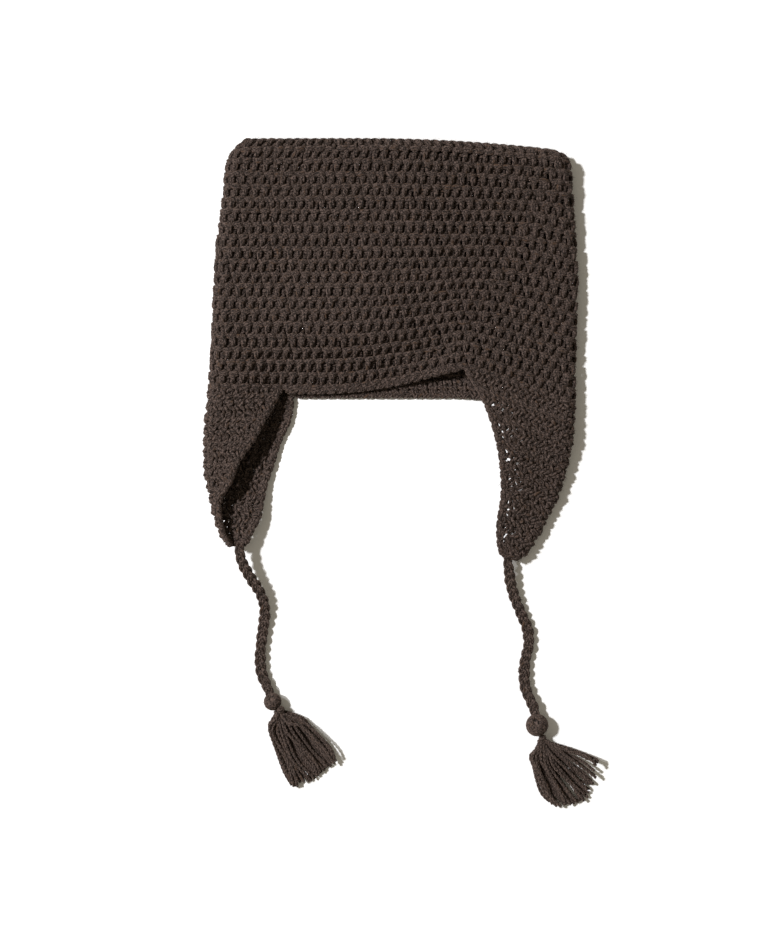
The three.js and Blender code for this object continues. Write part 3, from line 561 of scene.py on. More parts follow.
# %% Blending between rows of a table
def spline_mix(keys, at):
    """Which four rows of a table to blend at each value, and how much of each."""
    keys = np.asarray(keys, float)
    last = len(keys) - 1
    value = np.clip(at, keys[0], keys[last])
    i = np.clip(np.searchsorted(keys, value, side="left") - 1, 0, last - 1)
    before, after = np.maximum(i - 1, 0), np.minimum(i + 2, last)
    span = keys[i + 1] - keys[i]
    t = (value - keys[i]) / span
    slope_low = span * (t ** 3 - 2 * t ** 2 + t) / (keys[i + 1] - keys[before])
    slope_high = span * (t ** 3 - t ** 2) / (keys[after] - keys[i])
    high = 3 * t ** 2 - 2 * t ** 3
    weights = np.stack([-slope_low, 1 - high - slope_high, high + slope_low, slope_high], -1)
    return np.stack([before, i, i + 1, after], -1), weights


def crown_row(down):
    """The columns of the crown's table at each distance down, by name."""
    rows, weights = spline_mix(CROWN_DOWN, down)
    values = (CROWN_ROWS[rows] * weights[..., None]).sum(-2)
    return {name: values[..., k] for k, name in enumerate(CROWN_COLUMNS)}


# %% [markdown]
# ## How the rounds lean
# The rounds don't lie straight across. Right of the seam they slope down to the right fold, in the
# middle of the brow they rise to a peak, and the top droops at its right corner. Each of these is a
# small formula that says how far down a place has dropped, because three short formulas are easier
# to mend than a grid of points.

# %% How the rounds lean
def front_drop(x, down):
    past = x - (SEAM["topX"] - (down - SEAM["topDown"]) * SEAM["slant"])
    soft_past = (past + np.hypot(past, SEAM["soften"])) / 2
    slope = RIGHT_DROP["top"] + (RIGHT_DROP["bottom"] - RIGHT_DROP["top"]) * down / CROWN_DEPTH
    depth = np.maximum(down - BROW_PEAK["startDown"], 0) / (CROWN_DEPTH - BROW_PEAK["startDown"])
    near_peak = np.clip((x - BROW_PEAK["from"]) / (BROW_PEAK["x"] - BROW_PEAK["from"]), 0, 1)
    lift = BROW_PEAK["lift"] * depth ** 1.5 * near_peak ** BROW_PEAK["rise"]
    return slope * soft_past * smoothstep(down, -20, 60) - lift


def back_drop(x, down, right):
    blend = smoothstep(x, right - 90, right)
    return NAPE_DROP * down / CROWN_DEPTH * (1 - blend) + front_drop(right, down) * blend


def top_droop(x, down):
    reach = np.maximum(x - TOP_DROOP["from"], 0) / TOP_DROOP["width"]
    return TOP_DROOP["depth"] * reach ** 2 * np.maximum(1 - down / TOP_DROOP["fade"], 0)


# %% [markdown]
# ## Any point on the crown
# With the table and the drops, two numbers give a point of the fabric. The fabric runs round the left
# fold in half a circle, across the front, round the right fold and back. Near the brow the front sags
# onto the back, and right of that it stands open, as the photograph shows.

# %% Points on the crown
def crown_point(around, reach):
    """Middle of the crown's fabric. around is 0 to 1 over the front, from the left fold to the right
    one, then 1 to 2 over the back; reach is the distance along the fabric from the closed top."""
    angle = np.clip(reach / TOP_RADIUS, 0, math.pi / 2)
    down = TOP_RADIUS * (1 - np.cos(angle)) + np.maximum(reach - TOP_ARC, 0)
    row = crown_row(down)
    left, right = row["left"] + HALF_WALL, row["right"] - HALF_WALL
    fold_left, fold_right = row["foldLeft"], row["foldRight"]
    flat = right - left - fold_left - fold_right
    arc_left, arc_right = fold_left * math.pi / 2, fold_right * math.pi / 2
    turn = np.mod(around, 2)
    on_front = turn <= 1
    face = np.where(on_front, 1, -1)
    travel = np.where(on_front, turn, 2 - turn) * (arc_left + flat + arc_right)
    across = np.clip((travel - arc_left) / flat, 0, 1)
    near_brow = smoothstep(down, CROWN_DEPTH - BROW_SAG["height"], CROWN_DEPTH)
    rise = BROW_RISE["height"] * np.exp(-((across - BROW_RISE["at"]) / BROW_RISE["width"]) ** 2)
    swell = row["swell"] * np.sin(math.pi * across) ** 2 + rise * near_brow
    sag = smoothstep(across, BROW_SAG["start"], BROW_SAG["full"]) * near_brow
    sag = sag * (1 - smoothstep(across, BROW_SAG["until"], BROW_SAG["end"]))
    gap = 2 * (fold_left + (fold_right - fold_left) * across) + swell
    gap = gap + (BROW_SAG["gap"] - gap) * sag
    turned_left = travel / fold_left
    turned_right = (arc_left + flat + arc_right - travel) / fold_right
    in_left, in_right = travel < arc_left, travel > arc_left + flat
    x = left + fold_left + across * flat
    x = np.where(in_left, left + fold_left * (1 - np.cos(turned_left)), x)
    x = np.where(in_right, right - fold_right * (1 - np.cos(turned_right)), x)
    height = np.where(on_front, gap, 0)
    height = np.where(in_left, fold_left * (1 + face * np.sin(turned_left)), height)
    height = np.where(in_right, fold_right * (1 + face * np.sin(turned_right)), height)
    z = HALF_WALL + gap / 2 + (height - gap / 2) * np.sin(angle)
    drop = np.where(on_front, front_drop(x, down), back_drop(x, down, right))
    return np.stack([x, TOP_LINE - down - drop - top_droop(x, down), z], -1)


def around_of(x, on_front):
    """The around value of a place x on the flat front or back, at the crown's lower end."""
    row = crown_row(np.array(CROWN_DEPTH - EDGE_BAND))
    left, right = row["left"] + HALF_WALL, row["right"] - HALF_WALL
    arc_left, arc_right = row["foldLeft"] * math.pi / 2, row["foldRight"] * math.pi / 2
    flat = right - left - row["foldLeft"] - row["foldRight"]
    share = float((arc_left + x - left - row["foldLeft"]) / (arc_left + flat + arc_right))
    return share if on_front else 2 - share


def surface(point_at, sideways, reach, side_step, reach_step=0.5):
    """Place and outward direction on a fabric described by point_at(sideways, reach)."""
    along = point_at(sideways, reach + reach_step) - point_at(sideways, reach - reach_step)
    over = point_at(sideways + side_step, reach) - point_at(sideways - side_step, reach)
    normal = np.cross(along, over)
    normal /= np.linalg.norm(normal, axis=-1, keepdims=True) + 1e-9
    return point_at(sideways, reach), normal


test_point = crown_point(np.array([0.5]), np.array([100.0]))[0]
print("middle of the front, 100 mm down:", np.round(test_point, 1))

# %% [markdown]
# ## The surfaces of the earflaps
# Each flap grows out of the crown's lower end and is folded lengthwise. Its table gives, from the
# crown to the tip, the front free edge, the fold and the back free edge, and the height of the fabric
# there. A section is a line from one free edge round the fold to the other, and a point on the flap
# is a blend of neighbouring sections.

# %% Tables of the flaps
FLAP_EDGES = {"leftFront": -79, "leftBack": -71, "rightFront": 52.5, "rightBack": 98}
FLAP_COLUMNS = ("frontX", "frontY", "foldX", "foldY", "backX", "backY", "frontZ", "topZ", "backZ")
LEFT_FLAP = [
    (-91.5, -52.5, -138.3, -53, -73.7, -53, 17, 16.6, 3),
    (-100.4, -69, -139.1, -69.4, -81.1, -69.4, 20, 16.4, 3),
    (-111.5, -85.4, -139.2, -85.5, -86, -85.5, 21, 17, 3.4),
    (-116.9, -99.5, -137.2, -99.5, -90.8, -99.5, 23, 18.8, 4.6),
    (-123.6, -112, -134.4, -112, -93.4, -112, 24, 21, 6.4),
    (-124.2, -126, -131, -126, -96.2, -126, 22.6, 22, 9),
    (-121.6, -138, -126.8, -138, -102.4, -138, 20.6, 21.2, 11.4),
    (-116.5, -146.3, -121.4, -146, -105.4, -146.3, 19.6, 20.4, 12.2),
]
RIGHT_FLAP = [
    (67.5, -38.5, 136.4, -63.3, 97.4, -58, 18, 15.2, 3),
    (77.2, -67.7, 131.6, -87, 98, -82, 18.5, 13, 3),
    (80.9, -93.6, 125.2, -109.9, 98.6, -105, 17.5, 11, 3),
    (80.9, -110.6, 117.6, -125.4, 97, -121, 16, 10, 3),
    (78, -130.6, 108.3, -142.4, 94, -138.5, 14, 10.8, 3),
    (78.6, -144.6, 101.4, -151.8, 90.6, -149, 12.4, 11.6, 3.2),
    (80.4, -153.8, 94.6, -156.2, 88, -155.6, 11.8, 12, 3.6),
]
SECTION_POINTS = 25
print("rows in the flaps' tables:", len(LEFT_FLAP), len(RIGHT_FLAP))

# %% [markdown]
# ## One section of a flap
# Cut across, a flap looks like a hairpin: a straight half on the floor, a round fold, and an upper
# half that rises or falls towards its free edge. Where the upper half is narrow near the left tip,
# only a part of the fold is left.

# %% Sections of a flap
def section_line(values, is_left):
    """Middle line of one section: from the back edge round the fold to the front edge on the left
    flap, and the other way on the right one."""
    row = dict(zip(FLAP_COLUMNS, values))
    side = 1 if is_left else -1
    fold_x = row["foldX"] + side * HALF_WALL
    centre_z = (row["topZ"] + row["backZ"]) / 2
    radius = (row["topZ"] - row["backZ"]) / 2
    widths = {True: abs(row["frontX"] - fold_x), False: abs(row["backX"] - fold_x)}
    line = []

    def place(inward, z, on_front):
        share = inward / widths[on_front]
        end_y = row["frontY"] if on_front else row["backY"]
        line.append((fold_x + side * inward, row["foldY"] + (end_y - row["foldY"]) * share, z))

    straight_steps, arc_steps = 10, 14
    for i in range(straight_steps):
        inward = widths[False] + (radius - widths[False]) * i / straight_steps
        place(inward, row["backZ"], False)
    front_turn = math.acos(1 - widths[True] / radius) if widths[True] < radius else math.pi / 2
    for i in range(arc_steps + 1):
        turned = -math.pi / 2 + (front_turn + math.pi / 2) * i / arc_steps
        place(radius * (1 - math.cos(turned)), centre_z + radius * math.sin(turned), turned > 0)
    if widths[True] > radius + 1:
        for i in range(1, straight_steps + 1):
            share = i / straight_steps
            rise = float(smoothstep(share, 0, 1))
            z = row["topZ"] + (row["frontZ"] - row["topZ"]) * rise
            place(radius + (widths[True] - radius) * share, z, True)
    return np.array(line if is_left else line[::-1])


# %% [markdown]
# ## Any point on a flap
# A flap keeps its sections in a list and blends them as the crown blends its rows. The first two
# sections are taken from the crown, so that the flap leaves it without a crease.

# %% Points on a flap
class Flap:
    """An earflap's fabric: its sections in order of reach, from the crown to the tip."""

    def __init__(self, rows, is_left):
        if is_left:
            self.start = around_of(FLAP_EDGES["leftBack"], False) - 2
            self.stop = around_of(FLAP_EDGES["leftFront"], True)
        else:
            self.start = around_of(FLAP_EDGES["rightFront"], True)
            self.stop = around_of(FLAP_EDGES["rightBack"], False)
        step_above = 12
        arounds = np.linspace(self.start, self.stop, SECTION_POINTS * 3)
        lines = [crown_point(arounds, np.full_like(arounds, reach))
                 for reach in (CROWN_END - step_above, CROWN_END)]
        lines += [section_line(row, is_left) for row in rows]
        self.sections = np.stack([evenly(line, SECTION_POINTS) for line in lines])
        steps = np.linalg.norm(np.diff(self.sections, axis=0), axis=2).mean(1)[1:]
        self.keys = np.concatenate([[-step_above, 0], np.cumsum(steps)])
        self.length = self.keys[-1]
        widths = np.linalg.norm(np.diff(self.sections, axis=1), axis=2).sum(1)
        self.width_at = lambda reach: np.interp(reach, self.keys, widths)

    def point(self, across, reach):
        rows, row_weights = spline_mix(self.keys, reach)
        columns, column_weights = spline_mix(np.linspace(0, 1, SECTION_POINTS), across)
        corners = self.sections[rows[..., :, None], columns[..., None, :]]
        weights = row_weights[..., :, None] * column_weights[..., None, :]
        point = (corners * weights[..., None]).sum((-3, -2))
        point[..., 2] = np.maximum(point[..., 2], HALF_WALL)
        return point

    def surface(self, across, reach):
        side_step = 0.012
        inside = np.clip(across, side_step, 1 - side_step)
        normal = surface(self.point, inside, np.clip(reach, -5, self.length - 0.6), side_step)[1]
        return self.point(across, reach), normal


flap_left, flap_right = Flap(LEFT_FLAP, True), Flap(RIGHT_FLAP, False)
print("flap lengths:", round(flap_left.length, 1), round(flap_right.length, 1), "mm")

# %% [markdown]
# ## One crochet stitch
# A half double crochet stitch is one long loop of yarn. A picture of stitches on a flat sheet would
# be quicker, but it has no depth and no loose edge. The table follows the yarn through a single
# stitch: the two front legs of the upright post, the turn at its foot, the chain that lies along the
# lower edge of the round, and the strands behind. Beside each post it leaves a dark slot, which the
# strands behind close, so that no floor shines through. Each point says how far along the row it is
# (in stitches), how far down the round (in rounds) and how far out of the fabric (in thicknesses).

# %% The path of the yarn through a stitch
STITCH = np.array([
    (0.06, 0.02, -0.10), (0.00, 0.12, 0.26), (-0.03, 0.28, 0.40), (-0.03, 0.48, 0.38),
    (0.00, 0.70, 0.10), (0.08, 0.76, -0.16), (0.13, 0.60, 0.02), (0.14, 0.42, 0.24),
    (0.15, 0.24, 0.33), (0.18, 0.09, 0.22), (0.20, -0.02, -0.12), (0.16, 0.30, -0.32),
    (0.04, 0.66, -0.34), (-0.02, 0.90, -0.08), (0.16, 0.89, 0.26), (0.50, 0.86, 0.36),
    (0.84, 0.89, 0.26), (0.98, 0.96, 0.06), (0.82, 1.03, 0.20), (0.50, 1.05, 0.32),
    (0.18, 1.02, 0.24), (0.04, 0.92, -0.12), (0.23, 0.69, -0.34), (0.64, 0.67, -0.37),
    (0.75, 0.46, -0.37), (0.43, 0.44, -0.37), (0.54, 0.23, -0.35), (0.98, 0.18, -0.24),
])
STITCH_WIDTH = 7.4
ROUND_HEIGHT = 9.2
THICKNESS = 4.1
YARN_RADIUS = 1.4
LEAN = -0.02
RINGS_PER_STITCH = 33
STITCH_WOBBLE = np.array([0.05, 0.022, 0.03])
POINT_WOBBLE = np.array([0.022, 0.016, 0.022])


def stitch_samples(template, width, height, rings):
    """Places in the template's list that give evenly spaced rings along one stitch of yarn."""
    scale = np.array([width, height, THICKNESS])
    twice = np.concatenate([template, template + [1, 0, 0], template + [2, 0, 0]]) * scale
    fine_at = np.linspace(len(template), 2 * len(template), 400)
    fine = catmull_rom(twice, fine_at)
    travelled = travelled_along(fine)
    stops = np.arange(rings) / rings * travelled[-1]
    return np.interp(stops, travelled, fine_at - len(template)), travelled[-1]


_, yarn_per_stitch = stitch_samples(STITCH, STITCH_WIDTH, ROUND_HEIGHT, RINGS_PER_STITCH)
print(f"one stitch takes {yarn_per_stitch:.0f} mm of yarn")


# %% [markdown]
# ## A row of stitches
# The yarn steps to the next stitch and the table repeats. A hand never makes two stitches quite alike,
# so each stitch is moved a little as a whole and each of its points a little by itself.

# %% A row of stitches
def stitch_row(count, random, template=STITCH, rings=RINGS_PER_STITCH, wobble=1.0, backwards=False):
    """Yarn of count stitches as (along, down, out) values. A row may also be worked backwards."""
    at, _ = stitch_samples(template, STITCH_WIDTH, ROUND_HEIGHT, rings)
    control = np.tile(template, (count, 1, 1))
    control[:, :, 0] += np.arange(count)[:, None]
    control += random.normal(0, 1, (count, 1, 3)) * STITCH_WOBBLE * wobble
    control += random.normal(0, 1, control.shape) * POINT_WOBBLE * wobble
    control = control.reshape(-1, 3)
    places = (np.arange(count)[:, None] * len(template) + at).ravel()
    path = catmull_rom(control, np.minimum(places, len(control) - 1.001))
    path[:, 0] -= LEAN * path[:, 1]
    if backwards:
        path[:, 0] = count - path[:, 0]
    path[:, 2] = np.clip(path[:, 2] * THICKNESS, -HALF_WALL + YARN_RADIUS, HALF_WALL - YARN_RADIUS)
    return path


# %% [markdown]
# ## The crown's rounds
# The crown is worked from the closed top down in closed rounds, with a few more stitches towards the
# brow. Where a round is closed there is a denser spot. Those spots drift to the left from round to
# round and draw the slanting seam on the right of the front. Each round also sways a little, and it is
# laid on the crown's surface, outward on the front and on the back alike. The back lies under the
# weight of the hat, so its yarn is pressed a little wider.

# %% Rounds
FIRST_LINE = 0.6
SECOND_LINE = 10.2
ROUND_COUNT = 20
LINES = np.array([FIRST_LINE] + [SECOND_LINE + ROUND_HEIGHT * k for k in range(ROUND_COUNT)])
SEAM_TOP_AROUND = 0.985
SEAM_STEP = 0.0172
SEAM_PULL = 0.55
SEAM_WIDTH = 1.5
SWAYS = ((0.035, 0.21, 1.7), (0.025, 0.083, 2.9))
BACK_SPREAD = 0.1
BACK_SHARPNESS = 4
SIDE_STEP = 0.002


def stitches_in_round(k):
    arounds = np.linspace(0, 2, 241)
    line = crown_point(arounds, np.full_like(arounds, (LINES[k] + LINES[k + 1]) / 2))
    return round(np.linalg.norm(np.diff(line, axis=0), axis=1).sum() / STITCH_WIDTH)


def crown_round(k, random):
    """Round number k of the crown: its path, the direction out of the hat and the yarn's radius."""
    count = stitches_in_round(k)
    along, down, out = stitch_row(count, random).T
    crowded = SEAM_PULL * (np.exp(-along / SEAM_WIDTH) - np.exp(-(count - along) / SEAM_WIDTH))
    around = SEAM_TOP_AROUND - SEAM_STEP * k + 2 * (along - crowded) / count
    sway = sum(size * np.sin(along * rate + k * shift) for size, rate, shift in SWAYS)
    reach = LINES[k] + (LINES[k + 1] - LINES[k]) * (down + sway)
    point, normal = surface(crown_point, around, reach, SIDE_STEP)
    on_back = np.clip(-BACK_SHARPNESS * np.sin(np.pi * around), 0, 1)
    thick = YARN_RADIUS * (1 + BACK_SPREAD * on_back)
    return point + normal * out[:, None], normal * (out > 0)[:, None], thick


random = np.random.default_rng(7)
crown_paths, crown_outward, crown_thick = zip(*(crown_round(k, random) for k in range(ROUND_COUNT)))
crown_pieces = []
for first, last in ((0, 5), (5, 10), (10, 15), (15, 20)):
    name = f"crown_rounds_{first + 1}_to_{last}"
    crown_pieces.append(yarn_mesh(name, crown_paths[first:last], crown_thick[first:last],
                                  fibres=9000, outward=crown_outward[first:last]))
print("stitches in the last round:", stitches_in_round(ROUND_COUNT - 1))

# %% [markdown]
# ## The closed top
# The first round is worked on both sides of a starting chain, which shows as a low braid along the
# top line and round its two corners. The same plait that made the ties, pulled flatter, lies there,
# with one thick yarn under it that fills the step down to the first round.

# %% Top chain
TOP_CHAIN_POINTS = 260
TOP_CHAIN_YARN = 1.2
TOP_CORE_YARN = 2.1
CORNER_REACH = 9
CORNER_INSET = 0.8


def top_line_point(share):
    front = crown_point(share, np.zeros_like(share))
    back = crown_point(2 - share, np.zeros_like(share))
    return (front + back) / 2


corner = np.linspace(CORNER_REACH, 1, 9)
left_corner = crown_point(np.zeros_like(corner), corner) + [CORNER_INSET, 0, 0]
right_corner = crown_point(np.ones_like(corner), corner[::-1]) - [CORNER_INSET, 0, 0]
top_middle = top_line_point(np.linspace(0.03, 0.97, 40)) - [0, 0.6, 0]
top_guide = np.concatenate([left_corner, top_middle, right_corner])
top_line, top_length = even_line(top_guide, TOP_CHAIN_POINTS)
top_core = top_line - [0, 1.2, 0]
top_plait = plait(top_line, top_length, swing=1.6, lift=1.2, apart=0.8)
top_paths = [*top_plait, top_core]
top_widths = [np.full(TOP_CHAIN_POINTS, TOP_CHAIN_YARN)] * len(top_plait)
top_widths += [np.full(TOP_CHAIN_POINTS, TOP_CORE_YARN)]
top_chain = yarn_mesh("crown_top_chain", top_paths, top_widths, fibres=900)

# %% [markdown]
# ## The earflaps' rows
# The flaps are worked to and fro, so every second row shows its back, and a furrow lies between rows.
# They look knobbly and closed, where the crown shows slots, so they get a table of their own with
# short crossing loops. Fewer stitches fit in each row towards the tip.

# %% The path of the yarn through a stitch of the flaps
FLAP_STITCH = np.array([
    (0.02, 0.02, -0.30), (-0.04, 0.12, 0.20), (-0.06, 0.28, 0.38), (0.02, 0.42, 0.22),
    (0.16, 0.44, -0.28), (0.26, 0.30, -0.22), (0.32, 0.14, 0.24), (0.48, 0.06, 0.38),
    (0.64, 0.12, 0.22), (0.68, 0.28, -0.26), (0.52, 0.44, -0.26), (0.36, 0.54, 0.18),
    (0.20, 0.64, 0.38), (0.04, 0.76, 0.22), (0.04, 0.92, -0.28), (0.22, 0.92, -0.22),
    (0.36, 0.80, 0.20), (0.56, 0.66, 0.38), (0.76, 0.56, 0.24), (0.92, 0.62, -0.24),
    (0.90, 0.80, -0.22), (0.74, 0.94, 0.20), (0.60, 1.02, 0.34), (0.80, 1.08, 0.22),
])
FLAP_RINGS = 44

# %% [markdown]
# ## Rows to and fro, and the pinholes
# Every second row is laid backwards, and a wave lifts the middle of each row above its furrows. Near
# the free edge of the right flap the floor shines through small holes, where the fabric is stretched.
# Leaving out yarn would show loose ends, so the yarn is pushed away from a few points instead, as
# stretching does.

# %% Flap rows
FLAP_ROW = 9.2
FIRST_ROW_TOP = 0.8
ROW_OVERLAP = 2.0
ROW_LEAD = 0.1
RIDGE = 0.75
RIDGE_AT = 0.45
HOLE_REACH = 1.95
HOLE_SCATTER = 0.5
HOLE_COLUMNS = ((6.8, 0.2, 0.7), (7.6, 0.75, 0.6), (12.0, 0.45, 0.8), (16.0, 0.9, 0.4))


def open_holes(across, down, holes):
    """Moves yarn (both in mm) out of small round holes, the way a stretched stitch gives way."""
    for hole_across, hole_down in holes:
        away_across, away_down = across - hole_across, down - hole_down
        distance = np.hypot(away_across, away_down) + 1e-6
        push = np.maximum(HOLE_REACH - distance, 0) / distance
        across, down = across + away_across * push, down + away_down * push
    return across, down


def flap_rows(flap, random, hole_columns=()):
    paths, outward = [], []
    rows_length = flap.length - EDGE_BAND - 1
    row_count = round(rows_length / FLAP_ROW)
    height = rows_length / row_count
    for k in range(row_count):
        top = FIRST_ROW_TOP + k * height
        width = flap.width_at(top + height / 2) - 2 * EDGING_WIDTH
        count = max(round(width / STITCH_WIDTH), 2)
        along, down, out = stitch_row(count, random, FLAP_STITCH, FLAP_RINGS, backwards=k % 2 == 1).T
        reach = top + height * down
        wide = flap.width_at(reach)
        inset = (EDGING_WIDTH - ROW_OVERLAP) / wide
        share = inset + (1 - 2 * inset) * np.clip((along + ROW_LEAD) / (count + ROW_LEAD), 0, 1)
        in_this_row = [
            (column, at) for column, at, chance in hole_columns
            if 0 < k < row_count - 1 and random.uniform() < chance
        ]
        holes = [
            (column + random.normal(0, HOLE_SCATTER), top + height * at + random.normal(0, HOLE_SCATTER))
            for column, at in in_this_row
        ]
        across, reach = open_holes(share * wide, reach, holes)
        point, normal = flap.surface(np.clip(across / wide, 0, 1), reach)
        ridge = RIDGE * np.cos(2 * np.pi * (down - RIDGE_AT))
        paths.append(point + normal * (out + ridge)[:, None])
        outward.append(normal * (out > 0)[:, None])
    return paths, outward


flap_pieces = []
for name, flap, holes in (("flap_rows_left", flap_left, ()), ("flap_rows_right", flap_right, HOLE_COLUMNS)):
    paths, outward = flap_rows(flap, random, holes)
    flap_pieces.append(yarn_mesh(name, paths, YARN_RADIUS, fibres=5000, outward=outward))
flap_yarn_left, flap_yarn_right = flap_pieces

# %% [markdown]
# ## The edging
# One finer row of small tight stitches runs round the brow, the flaps and the nape without a break.
# It could be made stretch by stretch, but then every corner would need a join. So its line is walked
# once round the hat, as an outer rim and the line that it is worked into.

# %% Walking round the edge
TIP_POINTS = 8


def rim_points(from_x, to_x, on_front, count):
    """Outer and inner line of the edging along the brow or the nape."""
    start, stop = around_of(from_x, on_front), around_of(to_x, on_front)
    arounds = np.linspace(start, stop, count)
    outer, normal = surface(crown_point, arounds, np.full(count, CROWN_REACH), SIDE_STEP)
    inner = crown_point(arounds, np.full(count, CROWN_END))
    return outer, inner, normal


def flap_edge_points(flap, count):
    """The same down a flap's first free edge, along its tip and up the other one."""
    reaches = np.linspace(1, flap.length - 2.5, count)
    tip_shares = np.linspace(0.06, 0.94, TIP_POINTS)
    share = np.concatenate([np.zeros(count), tip_shares, np.ones(count)])
    reach = np.concatenate([reaches, np.full(TIP_POINTS, flap.length), reaches[::-1]])
    outer, normal = flap.surface(share, reach)
    inset = EDGING_WIDTH / flap.width_at(reach)
    inner_reach = np.minimum(reach, flap.length - EDGE_BAND)
    inner, _ = flap.surface(np.clip(share, inset, 1 - inset), inner_reach)
    return outer, inner, normal


stretches = [
    rim_points(FLAP_EDGES["leftFront"] + 2, FLAP_EDGES["rightFront"] - 2, True, 60),
    flap_edge_points(flap_right, 50),
    rim_points(FLAP_EDGES["rightBack"] - 2, FLAP_EDGES["leftBack"] + 2, False, 60),
    flap_edge_points(flap_left, 50),
]
rim, rim_inner, rim_normal = (np.concatenate(lines) for lines in zip(*stretches))
rim_travel = travelled_along(rim)
print(f"the edging is {rim_travel[-1]:.0f} mm long")

# %% [markdown]
# ## The edging's yarn
# The row of stitches fills the band between the two lines. Two more yarns wind round each other along
# the rim, because a crocheted edge ends in a chain and is bumpier than the band itself.

# %% Edging stitches
EDGE_STITCH_WIDTH = 7.2
EDGE_YARN = 1.2
EDGE_RINGS = 38
RIM_RINGS = 1000
RIM_PITCH = 7.2
RIM_SWING = 1.15
RIM_INSET = 1.9
RIM_PHASES = (0, 2.1)
EDGE_DEPTH = 0.84
EDGE_START = 0.3
EDGE_HEIGHT = 0.95


def along_rim(at):
    """Outer line, inner line and direction out of the fabric at distances along the rim."""
    outer, inner, normal = (
        np.stack([np.interp(at, rim_travel, line[:, k]) for k in range(3)], 1)
        for line in (rim, rim_inner, rim_normal)
    )
    return outer, inner, normal / np.linalg.norm(normal, axis=1, keepdims=True)


def edging_yarn(random):
    count = round(rim_travel[-1] / EDGE_STITCH_WIDTH)
    along, down, out = stitch_row(count, random, FLAP_STITCH, EDGE_RINGS, wobble=0.8).T
    at = np.clip(along / count, 0, 1) * rim_travel[-1]
    outer, inner, normal = along_rim(at)
    depth = (1 - np.clip(down, -0.3, 1.05))[:, None] * EDGE_DEPTH + EDGE_START
    path = outer + (inner - outer) * depth + normal * (out * EDGE_HEIGHT)[:, None]
    return path, normal * (out > 0)[:, None]


def rim_chain():
    """Two yarns that wind round each other along the very edge."""
    stops = np.linspace(0, rim_travel[-1], RIM_RINGS)
    outer, inner, normal = along_rim(stops)
    inward = inner - outer
    inward /= np.linalg.norm(inward, axis=1, keepdims=True)
    turn = 2 * np.pi * stops / RIM_PITCH + 0.5 * np.sin(stops * 0.09)
    paths = []
    for phase in RIM_PHASES:
        sway = RIM_SWING * np.sin(turn + phase)[:, None]
        lift = RIM_SWING * np.cos(turn + phase)[:, None]
        paths.append(outer + inward * (RIM_INSET + sway) + normal * lift)
    return paths, normal


edge_path, edge_outward = edging_yarn(random)
rim_paths, rim_outward = rim_chain()
edging = yarn_mesh("edging_stitches", [edge_path, *rim_paths], EDGE_YARN, fibres=4500,
                   outward=[edge_outward, rim_outward, rim_outward])

# %% [markdown]
# ## The yarn's finish
# The yarn is a heathered brown wool: dark and light fibres spun together, with a rare warmer one, in
# twisted plies, with a soft fuzz that catches light at its edges. A picture of wool would repeat and
# wouldn't follow the loops. The map that every tube carries says where a point lies along and around
# the yarn, so stretched noise on that map gives the fibres, a slanted wave gives the plies as bump,
# and the shader's sheen gives the fuzz.

# %% Yarn material
def linear(shade):
    """A colour as seen on a screen, as the light values that a shader wants."""
    return [((v + 0.055) / 1.055) ** 2.4 if v > 0.04045 else v / 12.92 for v in shade] + [1]


